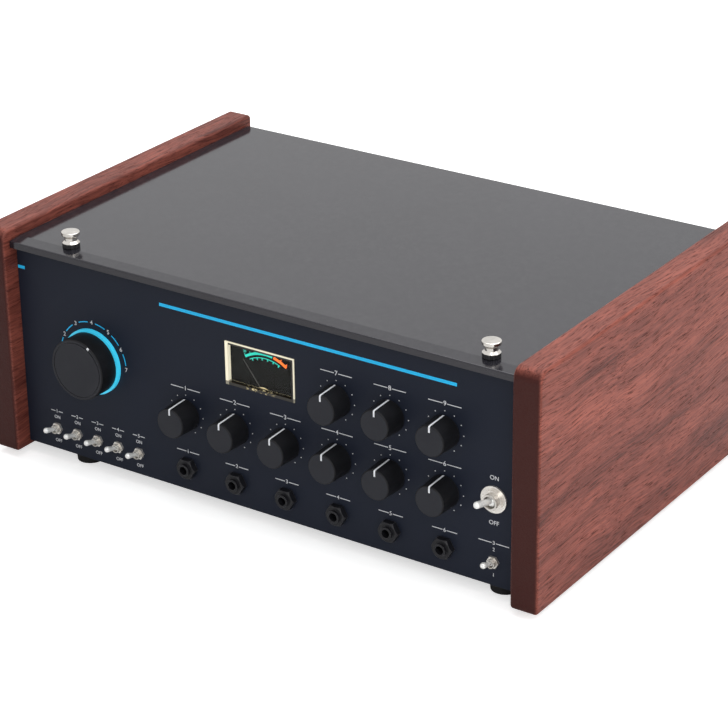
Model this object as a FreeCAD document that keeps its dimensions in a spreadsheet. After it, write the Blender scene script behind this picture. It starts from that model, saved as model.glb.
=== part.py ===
import FreeCAD, Part
import math
import operator
import os

import Sketcher

# A table-top tape echo unit: wooden cheeks, a folded steel case, a sloping row of controls and a tape deck
# under a hinged lid. Lengths are millimetres and angles are degrees.
# Pieces are placed by x from the middle, y from the panel's face towards the back and z from the panel's
# lower edge. The document's own origin lies on the table under the middle of the whole unit.

SIZES = {
    # Case
    "case_width": 430.0,
    "case_depth": 284.0,
    "case_wall_height": 162.9,
    "sheet_thickness": 1.5,
    "front_reach": 24.4,
    "cheek_rear_overhang": 6.7,
    "lip_width": 9.0,
    "lip_drop": 14.9,
    "rail_depth": 20.0,
    "rail_height": 14.0,
    "rail_drop": 10.9,
    "panel_top_gap": 0.9,
    "panel_thickness": 3.0,
    "panel_side_gap": 0.3,
    "rear_panel_gap": 2.9,
    # Cheeks
    "cheek_thickness": 21.2,
    "cheek_rise": 9.9,
    "cheek_drop": 4.7,
    "cheek_overhang": 14.0,
    "cheek_front_radius": 8.0,
    "cheek_corner_radius": 3.0,
    "cheek_edge_radius": 2.5,
    # Feet
    "foot_height": 10.0,
    "foot_radius": 11.2,
    "foot_taper": 1.0,
    "foot_recess_radius": 4.6,
    "foot_recess_depth": 5.0,
    "foot_left_x": 170.0,
    "foot_right_x": 193.5,
    "foot_front_y": 17.0,
    "foot_rear_y": 262.0,
    # Lid
    "lid_rest_gap": 0.4,
    "lid_thickness": 1.5,
    "lid_overhang": 7.3,
    "lid_strip_width": 11.3,
    "lid_strip_drop": 1.0,
    "lid_lip_height": 5.0,
    "lid_edge_radius": 1.0,
    "lid_rear_overhang": 1.0,
    "lid_side_gap": 0.6,
    # Lid hinges
    "hinge_x": 130.0,
    "hinge_length": 40.0,
    "hinge_axis_back": 4.0,
    "hinge_axis_drop": 2.5,
    "hinge_barrel_radius": 2.6,
    "hinge_pin_radius": 1.2,
    "hinge_leaf_thickness": 1.2,
    "hinge_leaf_reach": 23.0,
    "hinge_leaf_height": 19.5,
    "hinge_middle_length": 14.0,
    "hinge_swing_gap": 0.9,
    # Thumbscrews
    "thumb_left_x": 168.1,
    "thumb_right_x": 186.6,
    "thumb_y": 7.2,
    "thumb_height": 11.7,
    "thumb_top_radius": 6.7,
    "thumb_top_depth": 2.4,
    "thumb_waist_radius": 4.7,
    "thumb_flange_radius": 6.4,
    "thumb_flange_depth": 3.4,
    "thumb_flute_radius": 1.0,
    "thumb_flutes": 12.0,
    "thumb_shank_radius": 2.0,
    "thumb_shank_length": 10.0,
    "socket_radius": 3.6,
    "socket_height": 8.0,
    "socket_clearance": 0.35,
    # Clearances
    "shaft_clearance": 0.05,
    "hole_clearance": 0.1,
    "moving_gap": 0.3,
    "seat_gap": 0.2,
    # Control layout
    "column_pitch": 43.7,
    "last_column_x": 155.3,
    "knob_row": 61.0,
    "tone_row": 105.7,
    "jack_row": 18.3,
    "toggle_row": 17.5,
    "toggle_pitch": 19.4,
    "mode_x": 147.3,
    "mode_z": 82.0,
    "switch_column_x": 194.2,
    "power_z": 65.6,
    # Knobs
    "knob_radius": 12.1,
    "knob_front_radius": 11.3,
    "knob_length": 19.5,
    "knob_lift": 1.0,
    "knob_edge_radius": 1.1,
    "knob_recess_radius": 8.5,
    "knob_recess_depth": 4.5,
    "knob_bore_end": 15.5,
    "shaft_radius": 3.0,
    "shaft_inner_end": 9.0,
    "mode_radius": 23.5,
    "mode_length": 19.2,
    "mode_edge_radius": 1.0,
    "mode_inlay_radius": 20.6,
    "mode_groove_width": 0.8,
    "mode_groove_depth": 0.5,
    "ring_radius": 25.2,
    "ring_inner_radius": 17.5,
    "ring_depth": 3.0,
    # Potentiometers and mode switch
    "pot_radius": 8.4,
    "pot_depth": 9.0,
    "pot_bush_radius": 3.5,
    "pot_bush_reach": 4.0,
    "pot_nut_across": 10.0,
    "pot_nut_depth": 2.0,
    "rotary_radius": 15.0,
    "rotary_depth": 8.0,
    "rotary_bush_radius": 4.7,
    "rotary_bush_reach": 5.0,
    "rotary_nut_across": 13.0,
    "rotary_nut_depth": 2.4,
    "wafer_radius": 17.0,
    "wafer_thickness": 1.6,
    "wafer_pitch": 7.0,
    "wafer_post_radius": 1.5,
    "wafer_post_x": 12.0,
    # Toggle switches
    "toggle_lean": 16.0,
    "toggle_pivot_depth": 2.2,
    "toggle_reach": 15.5,
    "toggle_root_radius": 1.1,
    "toggle_tip_radius": 2.2,
    "toggle_ball_radius": 2.15,
    "toggle_bore_radius": 2.5,
    "toggle_bush_radius": 3.0,
    "toggle_bush_reach": 5.0,
    "toggle_body_width": 8.0,
    "toggle_body_depth": 10.0,
    "toggle_body_height": 13.0,
    "toggle_nut_across": 8.0,
    "toggle_nut_depth": 2.0,
    "power_lean": 15.0,
    "power_pivot_depth": 2.5,
    "power_root_radius": 1.9,
    "power_tip_radius": 2.5,
    "power_ball_radius": 4.0,
    "power_bore_radius": 4.5,
    "power_bush_radius": 5.5,
    "power_bush_reach": 6.5,
    "power_body_width": 17.0,
    "power_body_depth": 27.0,
    "power_body_height": 28.0,
    "power_washer_radius": 9.9,
    "power_washer_depth": 1.3,
    "power_nut_radius": 7.5,
    "power_nut_depth": 2.5,
    # Jacks
    "jack_hole_radius": 3.25,
    "jack_hole_depth": 30.0,
    "jack_barrel_radius": 4.7,
    "jack_barrel_reach": 7.0,
    "jack_nut_across": 14.5,
    "jack_nut_depth": 5.0,
    "jack_chamfer": 1.2,
    "jack_body_width": 16.0,
    "jack_body_depth": 25.0,
    # Level meter
    "meter_x": 3.4,
    "meter_z": 111.2,
    "meter_width": 59.4,
    "meter_height": 33.5,
    "bezel_width": 2.4,
    "bezel_proud": 0.6,
    "window_thickness": 1.2,
    "window_depth": 1.0,
    "meter_case_width": 66.0,
    "meter_case_height": 52.0,
    "meter_case_depth": 25.0,
    "meter_wall": 1.6,
    "dial_depth": 7.0,
    "dial_thickness": 1.0,
    "needle_lean": 37.0,
    "needle_length": 30.5,
    "needle_width": 0.7,
    "needle_thickness": 0.5,
    "needle_depth": 5.6,
    "needle_hub_radius": 2.2,
    "needle_pin_radius": 0.8,
    "needle_pivot_z": 90.0,
    "pivot_cover_radius": 7.4,
    "pivot_cover_thickness": 0.8,
    "movement_radius": 9.0,
    # Deck
    "deck_width": 410.0,
    "deck_front": 50.0,
    "deck_back": 274.0,
    "deck_thickness": 2.0,
    "deck_top": 122.0,
    "post_x": 195.0,
    "post_front_y": 60.0,
    "post_rear_y": 250.0,
    "post_radius": 4.0,
    # Tape path
    "tape_y": 92.0,
    "tape_width": 6.35,
    "tape_thickness": 0.3,
    "tape_lift": 6.0,
    "tape_left_x": 165.0,
    "tape_right_x": 150.0,
    "tape_turn_radius": 12.0,
    "lane_pitch": 40.0,
    "lane_front": 135.0,
    "lane_back": 250.0,
    "lane_turn_radius": 19.0,
    "head_x": 120.0,
    "head_pitch": 43.0,
    "head_width": 12.0,
    "head_depth": 16.0,
    "head_height": 15.0,
    "guide_flange_radius": 13.0,
    "guide_flange_depth": 1.5,
    "tank_front": 120.0,
    "tank_back": 262.0,
    "tank_margin": 15.0,
    "tank_height": 15.0,
    "tank_wall": 1.5,
    "tank_slot_width": 8.0,
    "cover_thickness": 2.0,
    # Tape drive
    "capstan_x": 121.0,
    "capstan_radius": 3.0,
    "capstan_top": 138.0,
    "flywheel_radius": 38.0,
    "drive_plane": 94.0,
    "pulley_depth": 12.0,
    "pulley_radius": 6.0,
    "pulley_spacing": 110.0,
    "belt_width": 6.0,
    "belt_thickness": 1.0,
    "motor_radius": 20.0,
    "motor_height": 42.0,
    "motor_shaft_radius": 2.0,
    "motor_shaft_depth": 24.0,
    "motor_boss_radius": 6.0,
    "bracket_top": 88.0,
    "bracket_thickness": 2.0,
    "bracket_span": 88.0,
    "bracket_end": 43.0,
    "bush_flange_radius": 7.0,
    "bush_flange_depth": 3.0,
    "bush_radius": 5.0,
    "bush_stem": 4.0,
    "roller_radius": 9.0,
    "roller_depth": 8.0,
    "roller_pin_radius": 2.0,
    "pinch_arm_length": 35.0,
    "pinch_arm_width": 10.0,
    "pinch_arm_thickness": 3.0,
    "pinch_boss_radius": 6.0,
    "pinch_boss_height": 8.0,
    "pinch_post_radius": 3.0,
    # Electronics
    "board_thickness": 1.6,
    "board_lift": 8.0,
    "board_width": 290.0,
    "board_depth": 110.0,
    "board_x": 40.0,
    "board_y": 150.0,
    "board_post_radius": 3.0,
    "board_post_inset": 8.0,
    "chip_width": 16.0,
    "chip_depth": 7.0,
    "chip_height": 4.0,
    "capacitor_radius": 5.0,
    "capacitor_height": 16.0,
    "control_board_height": 28.0,
    "core_width": 54.0,
    "core_depth": 44.0,
    "core_height": 48.0,
    "core_x": 157.0,
    "core_y": 225.0,
    "coil_width": 34.0,
    "coil_depth": 60.0,
    "coil_height": 30.0,
    # Mains inlet and vents
    "inlet_x": 150.0,
    "inlet_z": 40.0,
    "inlet_width": 27.0,
    "inlet_height": 20.0,
    "inlet_body_depth": 22.0,
    "inlet_flange_width": 31.0,
    "inlet_flange_height": 24.0,
    "inlet_flange_depth": 3.0,
    "inlet_recess_width": 24.4,
    "inlet_recess_height": 17.0,
    "inlet_recess_depth": 19.0,
    "inlet_pin_width": 4.0,
    "inlet_pin_thickness": 2.0,
    "inlet_pin_length": 13.5,
    "inlet_pin_pitch": 7.0,
    "inlet_pin_offset": 2.0,
    "vent_x": 170.0,
    "vent_z": 70.0,
    "vent_width": 3.0,
    "vent_height": 40.0,
    "vent_pitch": 9.0,
    "vent_count": 12.0,
    # Screws
    "panel_screw_radius": 1.5,
    "panel_screw_head": 2.8,
    "panel_screw_depth": 2.0,
    "cheek_screw_radius": 2.0,
    "cheek_screw_head": 4.0,
    "cheek_screw_depth": 14.0,
    "screw_head_depth": 2.2,
    "screw_low_z": 30.0,
    "screw_high_z": 130.0,
    "cheek_screw_front_y": 40.0,
    "cheek_screw_rear_y": 240.0,
    "deck_screw_depth": 10.0,
    "foot_screw_depth": 5.0,
}

OPERATIONS = {
    "+": operator.add,
    "-": operator.sub,
    "*": operator.mul,
    "/": operator.truediv,
}


class Size:
    """A length that holds its number and the formula that the document keeps for it."""

    def __init__(self, number, text):
        self.number = number
        self.text = text

    def joined(self, sign, other, swapped=False):
        pair = (self, size_of(other))
        first, second = pair[::-1] if swapped else pair
        number = OPERATIONS[sign](first.number, second.number)
        return Size(number, f"({first.text} {sign} {second.text})")

    def __add__(self, other):
        return self.joined("+", other)

    def __radd__(self, other):
        return self.joined("+", other, True)

    def __sub__(self, other):
        return self.joined("-", other)

    def __rsub__(self, other):
        return self.joined("-", other, True)

    def __mul__(self, other):
        return self.joined("*", other)

    def __rmul__(self, other):
        return self.joined("*", other, True)

    def __truediv__(self, other):
        return self.joined("/", other)

    def __neg__(self):
        return self.joined("*", -1)


def size_of(value):
    return value if isinstance(value, Size) else Size(float(value), str(value))


def cosine(angle):
    angle = size_of(angle)
    return Size(math.cos(math.radians(angle.number)), f"cos({angle.text})")


def sine(angle):
    angle = size_of(angle)
    return Size(math.sin(math.radians(angle.number)), f"sin({angle.text})")


class Names:
    """The sheet's cells, each read as a Size by its name."""


doc = FreeCAD.newDocument("TapeEcho")
s = Names()
nodes = {}


def fill_sheet():
    """Writes every driving dimension into the sheet and reads each back as a Size."""
    sheet = doc.addObject("Spreadsheet::Sheet", "Sizes")
    for row, (name, value) in enumerate(SIZES.items(), 1):
        sheet.set(f"A{row}", name.replace("_", " "))
        sheet.set(f"B{row}", str(value))
        sheet.setAlias(f"B{row}", name)
    doc.recompute()
    for name in SIZES:
        setattr(s, name, Size(float(sheet.get(name)), f"Sizes.{name}"))


def bind(piece, path, value):
    piece.setExpression(path, size_of(value).text)


def place(piece, x=0, y=0, z=0):
    """Puts a piece at x, y and z in the case's own coordinates."""
    bind(piece, "Placement.Base.x", x)
    bind(piece, "Placement.Base.y", (s.front_reach - rear_reach()) / 2 + y)
    bind(piece, "Placement.Base.z", s.foot_height + z)


def publish(name, piece):
    """Makes a piece a sub-part under its own name."""
    piece.Label = name
    nodes[name] = piece


# Solid primitives

AXIS_TURNS = {
    "x": FreeCAD.Rotation(FreeCAD.Vector(0, 1, 0), 90),
    "y": FreeCAD.Rotation(FreeCAD.Vector(1, 0, 0), -90),
    "z": FreeCAD.Rotation(),
}


def block(name, corner, extent):
    piece = doc.addObject("Part::Box", name)
    for side, length in zip(("Length", "Width", "Height"), extent):
        bind(piece, side, length)
    place(piece, *corner)
    return piece


def centred(name, x, z, width, height, y, depth):
    """A block that is centred on x and z and runs back from y."""
    return block(name, (x - size_of(width) / 2, y, z - size_of(height) / 2), (width, depth, height))


def rod(name, axis, start, radius, length):
    piece = doc.addObject("Part::Cylinder", name)
    bind(piece, "Radius", radius)
    bind(piece, "Height", length)
    piece.Placement = FreeCAD.Placement(FreeCAD.Vector(), AXIS_TURNS[axis])
    place(piece, *start)
    return piece


def cone(name, axis, start, radius, end_radius, length):
    piece = doc.addObject("Part::Cone", name)
    bind(piece, "Radius1", radius)
    bind(piece, "Radius2", end_radius)
    bind(piece, "Height", length)
    piece.Placement = FreeCAD.Placement(FreeCAD.Vector(), AXIS_TURNS[axis])
    place(piece, *start)
    return piece


def hexagon(name, start, across, length):
    """A hexagonal bar along y, sized by its width across the flats."""
    piece = doc.addObject("Part::Prism", name)
    piece.Polygon = 6
    bind(piece, "Circumradius", across / 2 / cosine(30))
    bind(piece, "Height", length)
    piece.Placement = FreeCAD.Placement(FreeCAD.Vector(), AXIS_TURNS["y"])
    place(piece, *start)
    return piece


def ball(name, centre, radius):
    piece = doc.addObject("Part::Sphere", name)
    bind(piece, "Radius", radius)
    place(piece, *centre)
    return piece


def join(name, *pieces):
    fused = doc.addObject("Part::MultiFuse", name)
    fused.Shapes = list(pieces)
    return fused


def group(name, pieces):
    """Keeps separate solids side by side as one sub-part."""
    compound = doc.addObject("Part::Compound", name)
    compound.Links = list(pieces)
    return compound


def cut(name, base, *tools):
    result = doc.addObject("Part::Cut", name)
    result.Base = base
    result.Tool = tools[0] if len(tools) == 1 else join(f"{name}Tools", *tools)
    return result


def common(name, *pieces):
    result = doc.addObject("Part::MultiCommon", name)
    result.Shapes = list(pieces)
    return result


# Sketched bodies


def new_body(name, x=0, y=0, z=0):
    body = doc.addObject("PartDesign::Body", name)
    place(body, x, y, z)
    return body


def sketch_on(body, name, role):
    plane = next(item for item in body.Origin.OriginFeatures if item.Role == role)
    sketch = body.newObject("Sketcher::SketchObject", name)
    sketch.AttachmentSupport = [(plane, "")]
    sketch.MapMode = "FlatFace"
    return sketch


def pin_point(sketch, line, end, across, up):
    """Fixes one end of a sketch line, or a circle's centre, at two formulas from the sketch's origin."""
    for kind, value in (("DistanceX", across), ("DistanceY", up)):
        value = size_of(value)
        index = sketch.addConstraint(Sketcher.Constraint(kind, -1, 1, line, end, value.number))
        bind(sketch, f"Constraints[{index}]", value)


def outline(sketch, corners):
    """Draws a closed outline of straight lines through the corners."""
    points = [FreeCAD.Vector(size_of(a).number, size_of(b).number, 0) for a, b in corners]
    first = sketch.GeometryCount
    count = len(corners)
    for index, point in enumerate(points):
        sketch.addGeometry(Part.LineSegment(point, points[(index + 1) % count]), False)
    for index in range(count):
        following = first + (index + 1) % count
        sketch.addConstraint(Sketcher.Constraint("Coincident", first + index, 2, following, 1))
    for index, (across, up) in enumerate(corners):
        pin_point(sketch, first + index, 1, across, up)


def rectangle(sketch, across, up, width, height):
    half_width = size_of(width) / 2
    half_height = size_of(height) / 2
    outline(
        sketch,
        [
            (across - half_width, up - half_height),
            (across + half_width, up - half_height),
            (across + half_width, up + half_height),
            (across - half_width, up + half_height),
        ],
    )


def circle(sketch, across, up, radius):
    radius = size_of(radius)
    centre = FreeCAD.Vector(size_of(across).number, size_of(up).number, 0)
    drawn = Part.Circle(centre, FreeCAD.Vector(0, 0, 1), radius.number)
    index = sketch.addGeometry(drawn, False)
    pin_point(sketch, index, 3, across, up)
    constraint = sketch.addConstraint(Sketcher.Constraint("Radius", index, radius.number))
    bind(sketch, f"Constraints[{constraint}]", radius)


def pad(body, sketch, length, backward=False, both_ways=False):
    feature = body.newObject("PartDesign::Pad", f"{sketch.Name}Pad")
    feature.Profile = sketch
    bind(feature, "Length", length)
    feature.Reversed = backward
    feature.Midplane = both_ways
    doc.recompute()
    return feature


def pocket(body, sketch, length, backward=False):
    """Cuts a sketch out of its body and checks that material went."""
    before = body.Shape.Volume
    feature = body.newObject("PartDesign::Pocket", f"{sketch.Name}Pocket")
    feature.Profile = sketch
    bind(feature, "Length", length)
    feature.Reversed = backward
    doc.recompute()
    if body.Shape.Volume >= before:
        raise RuntimeError(f"{feature.Name} cuts nothing")
    return feature


def turned(name, axis, corners, x=0, y=0, z=0):
    """Turns a profile of (along, radius) corners about the y or the z axis."""
    body = new_body(name, x, y, z)
    if axis == "y":
        sketch = sketch_on(body, f"{name}Profile", "YZ_Plane")
        outline(sketch, corners)
        reference = "H_Axis"
    else:
        sketch = sketch_on(body, f"{name}Profile", "XZ_Plane")
        outline(sketch, [(radius, along) for along, radius in corners])
        reference = "V_Axis"
    feature = body.newObject("PartDesign::Revolution", f"{name}Turning")
    feature.Profile = sketch
    feature.ReferenceAxis = (sketch, [reference])
    feature.Angle = 360
    doc.recompute()
    return body


def soften(body, name, radius, chosen):
    """Rounds the edges of a body that the test picks."""
    base = body.Tip
    edges = [f"Edge{n}" for n, edge in enumerate(base.Shape.Edges, 1) if chosen(edge)]
    feature = body.newObject("PartDesign::Fillet", name)
    feature.Base = (base, edges)
    bind(feature, "Radius", radius)
    doc.recompute()
    return feature


def runs_along(edge, direction):
    """Tells whether a straight edge runs along a direction."""
    if edge.Curve.TypeId != "Part::GeomLine":
        return False
    return abs(edge.Curve.Direction.dot(direction)) > 0.999


def ring_at(edge, place_along, radius, axis):
    """Tells whether an edge is the full circle of a radius at a place along an axis of its body."""
    if edge.Curve.TypeId != "Part::GeomCircle":
        return False
    along = edge.Curve.Center.dot(axis)
    return abs(along - place_along) < 0.01 and abs(edge.Curve.Radius - radius) < 0.01


ALONG_X = FreeCAD.Vector(1, 0, 0)
ALONG_Y = FreeCAD.Vector(0, 1, 0)
ALONG_Z = FreeCAD.Vector(0, 0, 1)


# Places that several pieces share


def column(number):
    """The x of a control column, counted from 0 at the left."""
    return s.last_column_x - (5 - number) * s.column_pitch


def toggle_column(number):
    """The x of a small switch, counted from the middle one under the mode dial."""
    return number * s.toggle_pitch - s.mode_x


KNOBS = (
    ("knob_input_volume", 0, "knob_row"),
    ("knob_chorus_rate", 1, "knob_row"),
    ("knob_chorus_depth", 2, "knob_row"),
    ("knob_reverb_volume", 3, "knob_row"),
    ("knob_speed", 4, "knob_row"),
    ("knob_echo_volume", 5, "knob_row"),
    ("knob_bass", 3, "tone_row"),
    ("knob_treble", 4, "tone_row"),
    ("knob_feedback", 5, "tone_row"),
)

TOGGLES = (
    ("toggle_direct", -2),
    ("toggle_motor", -1),
    ("toggle_sound", 0),
    ("toggle_echo", 1),
    ("toggle_chorus", 2),
)


def knob_places():
    return [(name, column(number), getattr(s, row)) for name, number, row in KNOBS]


def small_toggle_places():
    places = [(name, toggle_column(number), s.toggle_row) for name, number in TOGGLES]
    return places + [("toggle_level", s.switch_column_x, s.jack_row)]


def jack_places():
    return [column(number) for number in range(6)]


def case_half():
    return s.case_width / 2


def inner_half():
    return s.case_width / 2 - s.sheet_thickness


def case_back():
    """The y where the case ends and the rear panel begins."""
    return s.case_depth - s.sheet_thickness


def lip_middle():
    return inner_half() - s.lip_width / 2


def lip_screws():
    return [(side * lip_middle(), z) for side in (-1, 1) for z in (s.screw_low_z, s.screw_high_z)]


def cheek_screws():
    rows = (s.cheek_screw_front_y, s.cheek_screw_rear_y)
    return [(y, z) for y in rows for z in (s.screw_low_z, s.screw_high_z)]


def foot_places():
    rows = (s.foot_front_y, s.foot_rear_y)
    return [(x, y) for y in rows for x in (-s.foot_left_x, s.foot_right_x)]


def deck_posts():
    rows = (s.post_front_y, s.post_rear_y)
    return [(side * s.post_x, y) for y in rows for side in (-1, 1)]


def capstan_y():
    """The capstan stands behind the tape, with a small gap to it."""
    return s.tape_y + s.tape_thickness / 2 + s.moving_gap + s.capstan_radius


def roller_y():
    """The pinch roller stands in front of the tape, across from the capstan."""
    return s.tape_y - s.tape_thickness / 2 - s.moving_gap - s.roller_radius


def pinch_pivot_x():
    return s.capstan_x + s.pinch_arm_length


def motor_x():
    return s.capstan_x - s.pulley_spacing


def tape_bottom():
    return s.deck_top + s.tape_lift


# Case


def hinge_axis_y():
    """The lid's hinges turn a little behind the case."""
    return s.case_depth + s.hinge_axis_back


def hinge_axis_z():
    """The hinges' axis lies under the lid's top, out of sight from the front."""
    return s.case_wall_height - s.hinge_axis_drop


def lid_back():
    """The lid's rear edge stands just past the rear panel."""
    return s.case_depth + s.lid_rear_overhang


def lid_top():
    """The lid's sheet rests just above the tray's walls."""
    return s.case_wall_height + s.lid_rest_gap + s.lid_thickness


def panel_height():
    """The front panel ends just under the lid."""
    return s.case_wall_height - s.panel_top_gap


def rear_panel_height():
    """The rear panel leaves room for the lid's leaves."""
    return s.case_wall_height - s.rear_panel_gap


def rear_reach():
    """The cheeks reach past the rear panel and the hinges."""
    return s.case_depth + s.cheek_rear_overhang


def rail_top():
    """The front rail hangs between the walls, under the lid."""
    return s.case_wall_height - s.rail_drop


def lip_height():
    """The lips stop short of the walls' tops."""
    return s.case_wall_height - s.lip_drop


def cheek_top():
    """The cheeks stand above the lid."""
    return s.case_wall_height + s.cheek_rise


def chassis_tray():
    """One folded tray: floor, two walls, four lips and a front rail that carries the lid's sockets."""
    start = s.panel_thickness
    length = case_back() - start
    floor = block("TrayFloor", (-case_half(), start, 0), (s.case_width, length, s.sheet_thickness))
    solids = [floor]
    for side in (-1, 1):
        wall_x = side * (case_half() - s.sheet_thickness / 2) - s.sheet_thickness / 2
        wall_size = (s.sheet_thickness, length, s.case_wall_height)
        solids.append(block("TrayWall", (wall_x, start, 0), wall_size))
        for y in (start, case_back() - s.sheet_thickness):
            lip_size = (s.lip_width, s.sheet_thickness, lip_height())
            solids.append(block("TrayLip", (side * lip_middle() - s.lip_width / 2, y, 0), lip_size))
    rail_y = start + s.sheet_thickness
    rail_size = (2 * inner_half(), s.sheet_thickness, s.rail_height)
    solids.append(block("RailWeb", (-inner_half(), rail_y, rail_top() - s.rail_height), rail_size))
    shelf_size = (2 * inner_half(), s.rail_depth - rail_y, s.sheet_thickness)
    shelf_corner = (-inner_half(), rail_y, rail_top() - s.sheet_thickness)
    solids.append(block("RailShelf", shelf_corner, shelf_size))
    holes = []
    screw_hole = s.panel_screw_radius + s.hole_clearance
    for x, z in lip_screws():
        holes.append(rod("LipHole", "y", (x, 0, z), screw_hole, s.case_depth))
    cheek_hole = s.cheek_screw_radius + s.hole_clearance
    for y, z in cheek_screws():
        holes.append(rod("CheekHole", "x", (-case_half(), y, z), cheek_hole, s.case_width))
    for x, y in foot_places():
        holes.append(rod("FootHole", "z", (x, y, 0), cheek_hole, s.sheet_thickness))
    tray = cut("ChassisTray", join("TrayShell", *solids), *holes)
    publish("chassis_tray", tray)


def front_panel():
    """A flat plate with a hole for each control and blind screw holes in its back."""
    body = new_body("FrontPanel")
    face = sketch_on(body, "PanelFace", "XZ_Plane")
    width = s.case_width - 2 * s.panel_side_gap
    rectangle(face, 0, panel_height() / 2, width, panel_height())
    pad(body, face, s.panel_thickness, backward=True)
    holes = sketch_on(body, "PanelHoles", "XZ_Plane")
    for _, x, z in knob_places():
        circle(holes, x, z, s.pot_bush_radius + s.hole_clearance)
    circle(holes, -s.mode_x, s.mode_z, s.rotary_bush_radius + s.hole_clearance)
    for _, x, z in small_toggle_places():
        circle(holes, x, z, s.toggle_bush_radius + s.hole_clearance)
    circle(holes, s.switch_column_x, s.power_z, s.power_bush_radius + s.hole_clearance)
    for x in jack_places():
        circle(holes, x, s.jack_row, s.jack_barrel_radius + s.hole_clearance)
    rectangle(holes, s.meter_x, s.meter_z, s.meter_width, s.meter_height)
    pocket(body, holes, s.panel_thickness)
    tapped = sketch_on(body, "PanelTappedHoles", "XZ_Plane")
    bind(tapped, "AttachmentOffset.Base.z", -s.panel_thickness)
    for x, z in lip_screws():
        circle(tapped, x, z, s.panel_screw_radius + s.shaft_clearance)
    pocket(body, tapped, s.panel_screw_depth, backward=True)
    publish("front_panel", body)


def rear_panel():
    """The plate at the back, with the inlet's cut-out, a row of vents and four screw holes."""
    body = new_body("RearPanel", y=s.case_depth)
    face = sketch_on(body, "RearFace", "XZ_Plane")
    rectangle(face, 0, rear_panel_height() / 2, s.case_width, rear_panel_height())
    pad(body, face, s.sheet_thickness)
    holes = sketch_on(body, "RearHoles", "XZ_Plane")
    inlet_width = s.inlet_width + 2 * s.seat_gap
    inlet_height = s.inlet_height + 2 * s.seat_gap
    rectangle(holes, s.inlet_x, s.inlet_z, inlet_width, inlet_height)
    for x, z in lip_screws():
        circle(holes, x, z, s.panel_screw_radius + s.hole_clearance)
    pocket(body, holes, s.sheet_thickness, backward=True)
    slot = sketch_on(body, "VentSlot", "XZ_Plane")
    rectangle(slot, -s.vent_x, s.vent_z, s.vent_width, s.vent_height)
    first = pocket(body, slot, s.sheet_thickness, backward=True)
    row = body.newObject("PartDesign::LinearPattern", "VentRow")
    row.Originals = [first]
    row.Direction = (slot, ["H_Axis"])
    bind(row, "Length", (s.vent_count - 1) * s.vent_pitch)
    bind(row, "Occurrences", s.vent_count)
    body.Tip = row
    doc.recompute()
    publish("rear_panel", body)


def cheek(side, name):
    """A wooden end board with rounded corners and softened edges."""
    x = case_half() if side > 0 else -case_half() - s.cheek_thickness
    title = name.title().replace("_", "")
    body = new_body(title, x=x)
    board = sketch_on(body, f"{title}Board", "YZ_Plane")
    front = -s.cheek_overhang
    bottom = -s.cheek_drop
    corners = [
        (front, bottom),
        (rear_reach(), bottom),
        (rear_reach(), cheek_top()),
        (front, cheek_top()),
    ]
    outline(board, corners)
    pad(body, board, s.cheek_thickness)
    holes = sketch_on(body, f"{title}Pilots", "YZ_Plane")
    for y, z in cheek_screws():
        circle(holes, y, z, s.cheek_screw_radius + s.shaft_clearance)
    if side < 0:
        bind(holes, "AttachmentOffset.Base.z", s.cheek_thickness)
    pocket(body, holes, s.cheek_screw_depth, backward=side > 0)

    def at_top_front(edge):
        centre = edge.CenterOfMass
        top = abs(centre.z - cheek_top().number) < 0.1
        return runs_along(edge, ALONG_X) and top and abs(centre.y - front.number) < 0.1

    def at_other_corner(edge):
        return runs_along(edge, ALONG_X) and not at_top_front(edge)

    def on_outline(edge):
        if edge.Curve.TypeId == "Part::GeomCircle":
            pilot = abs(edge.Curve.Radius - s.cheek_screw_radius.number) < 0.1
            return not pilot
        return not runs_along(edge, ALONG_X)

    soften(body, f"{title}TopFront", s.cheek_front_radius, at_top_front)
    soften(body, f"{title}Corners", s.cheek_corner_radius, at_other_corner)
    soften(body, f"{title}Edges", s.cheek_edge_radius, on_outline)
    publish(name, body)


def feet():
    solids = []
    for x, y in foot_places():
        rubber = cone(
            "FootRubber",
            "z",
            (x, y, -s.foot_height),
            s.foot_radius - s.foot_taper,
            s.foot_radius,
            s.foot_height,
        )
        recess = rod(
            "FootRecess", "z", (x, y, -s.foot_height), s.foot_recess_radius, s.foot_recess_depth
        )
        hole_radius = s.cheek_screw_radius + s.hole_clearance
        hole = rod("FootBore", "z", (x, y, -s.foot_height), hole_radius, s.foot_height)
        solids.append(cut("Foot", rubber, recess, hole))
    publish("feet", group("Feet", solids))


def screw(name, axis, start, radius, length, head_radius, head_start):
    """A plain screw: a shank that starts at one place and a flat head at another."""
    shank = rod(f"{name}Shank", axis, start, radius, length)
    head = rod(f"{name}Head", axis, head_start, head_radius, s.screw_head_depth)
    return join(name, shank, head)


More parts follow.
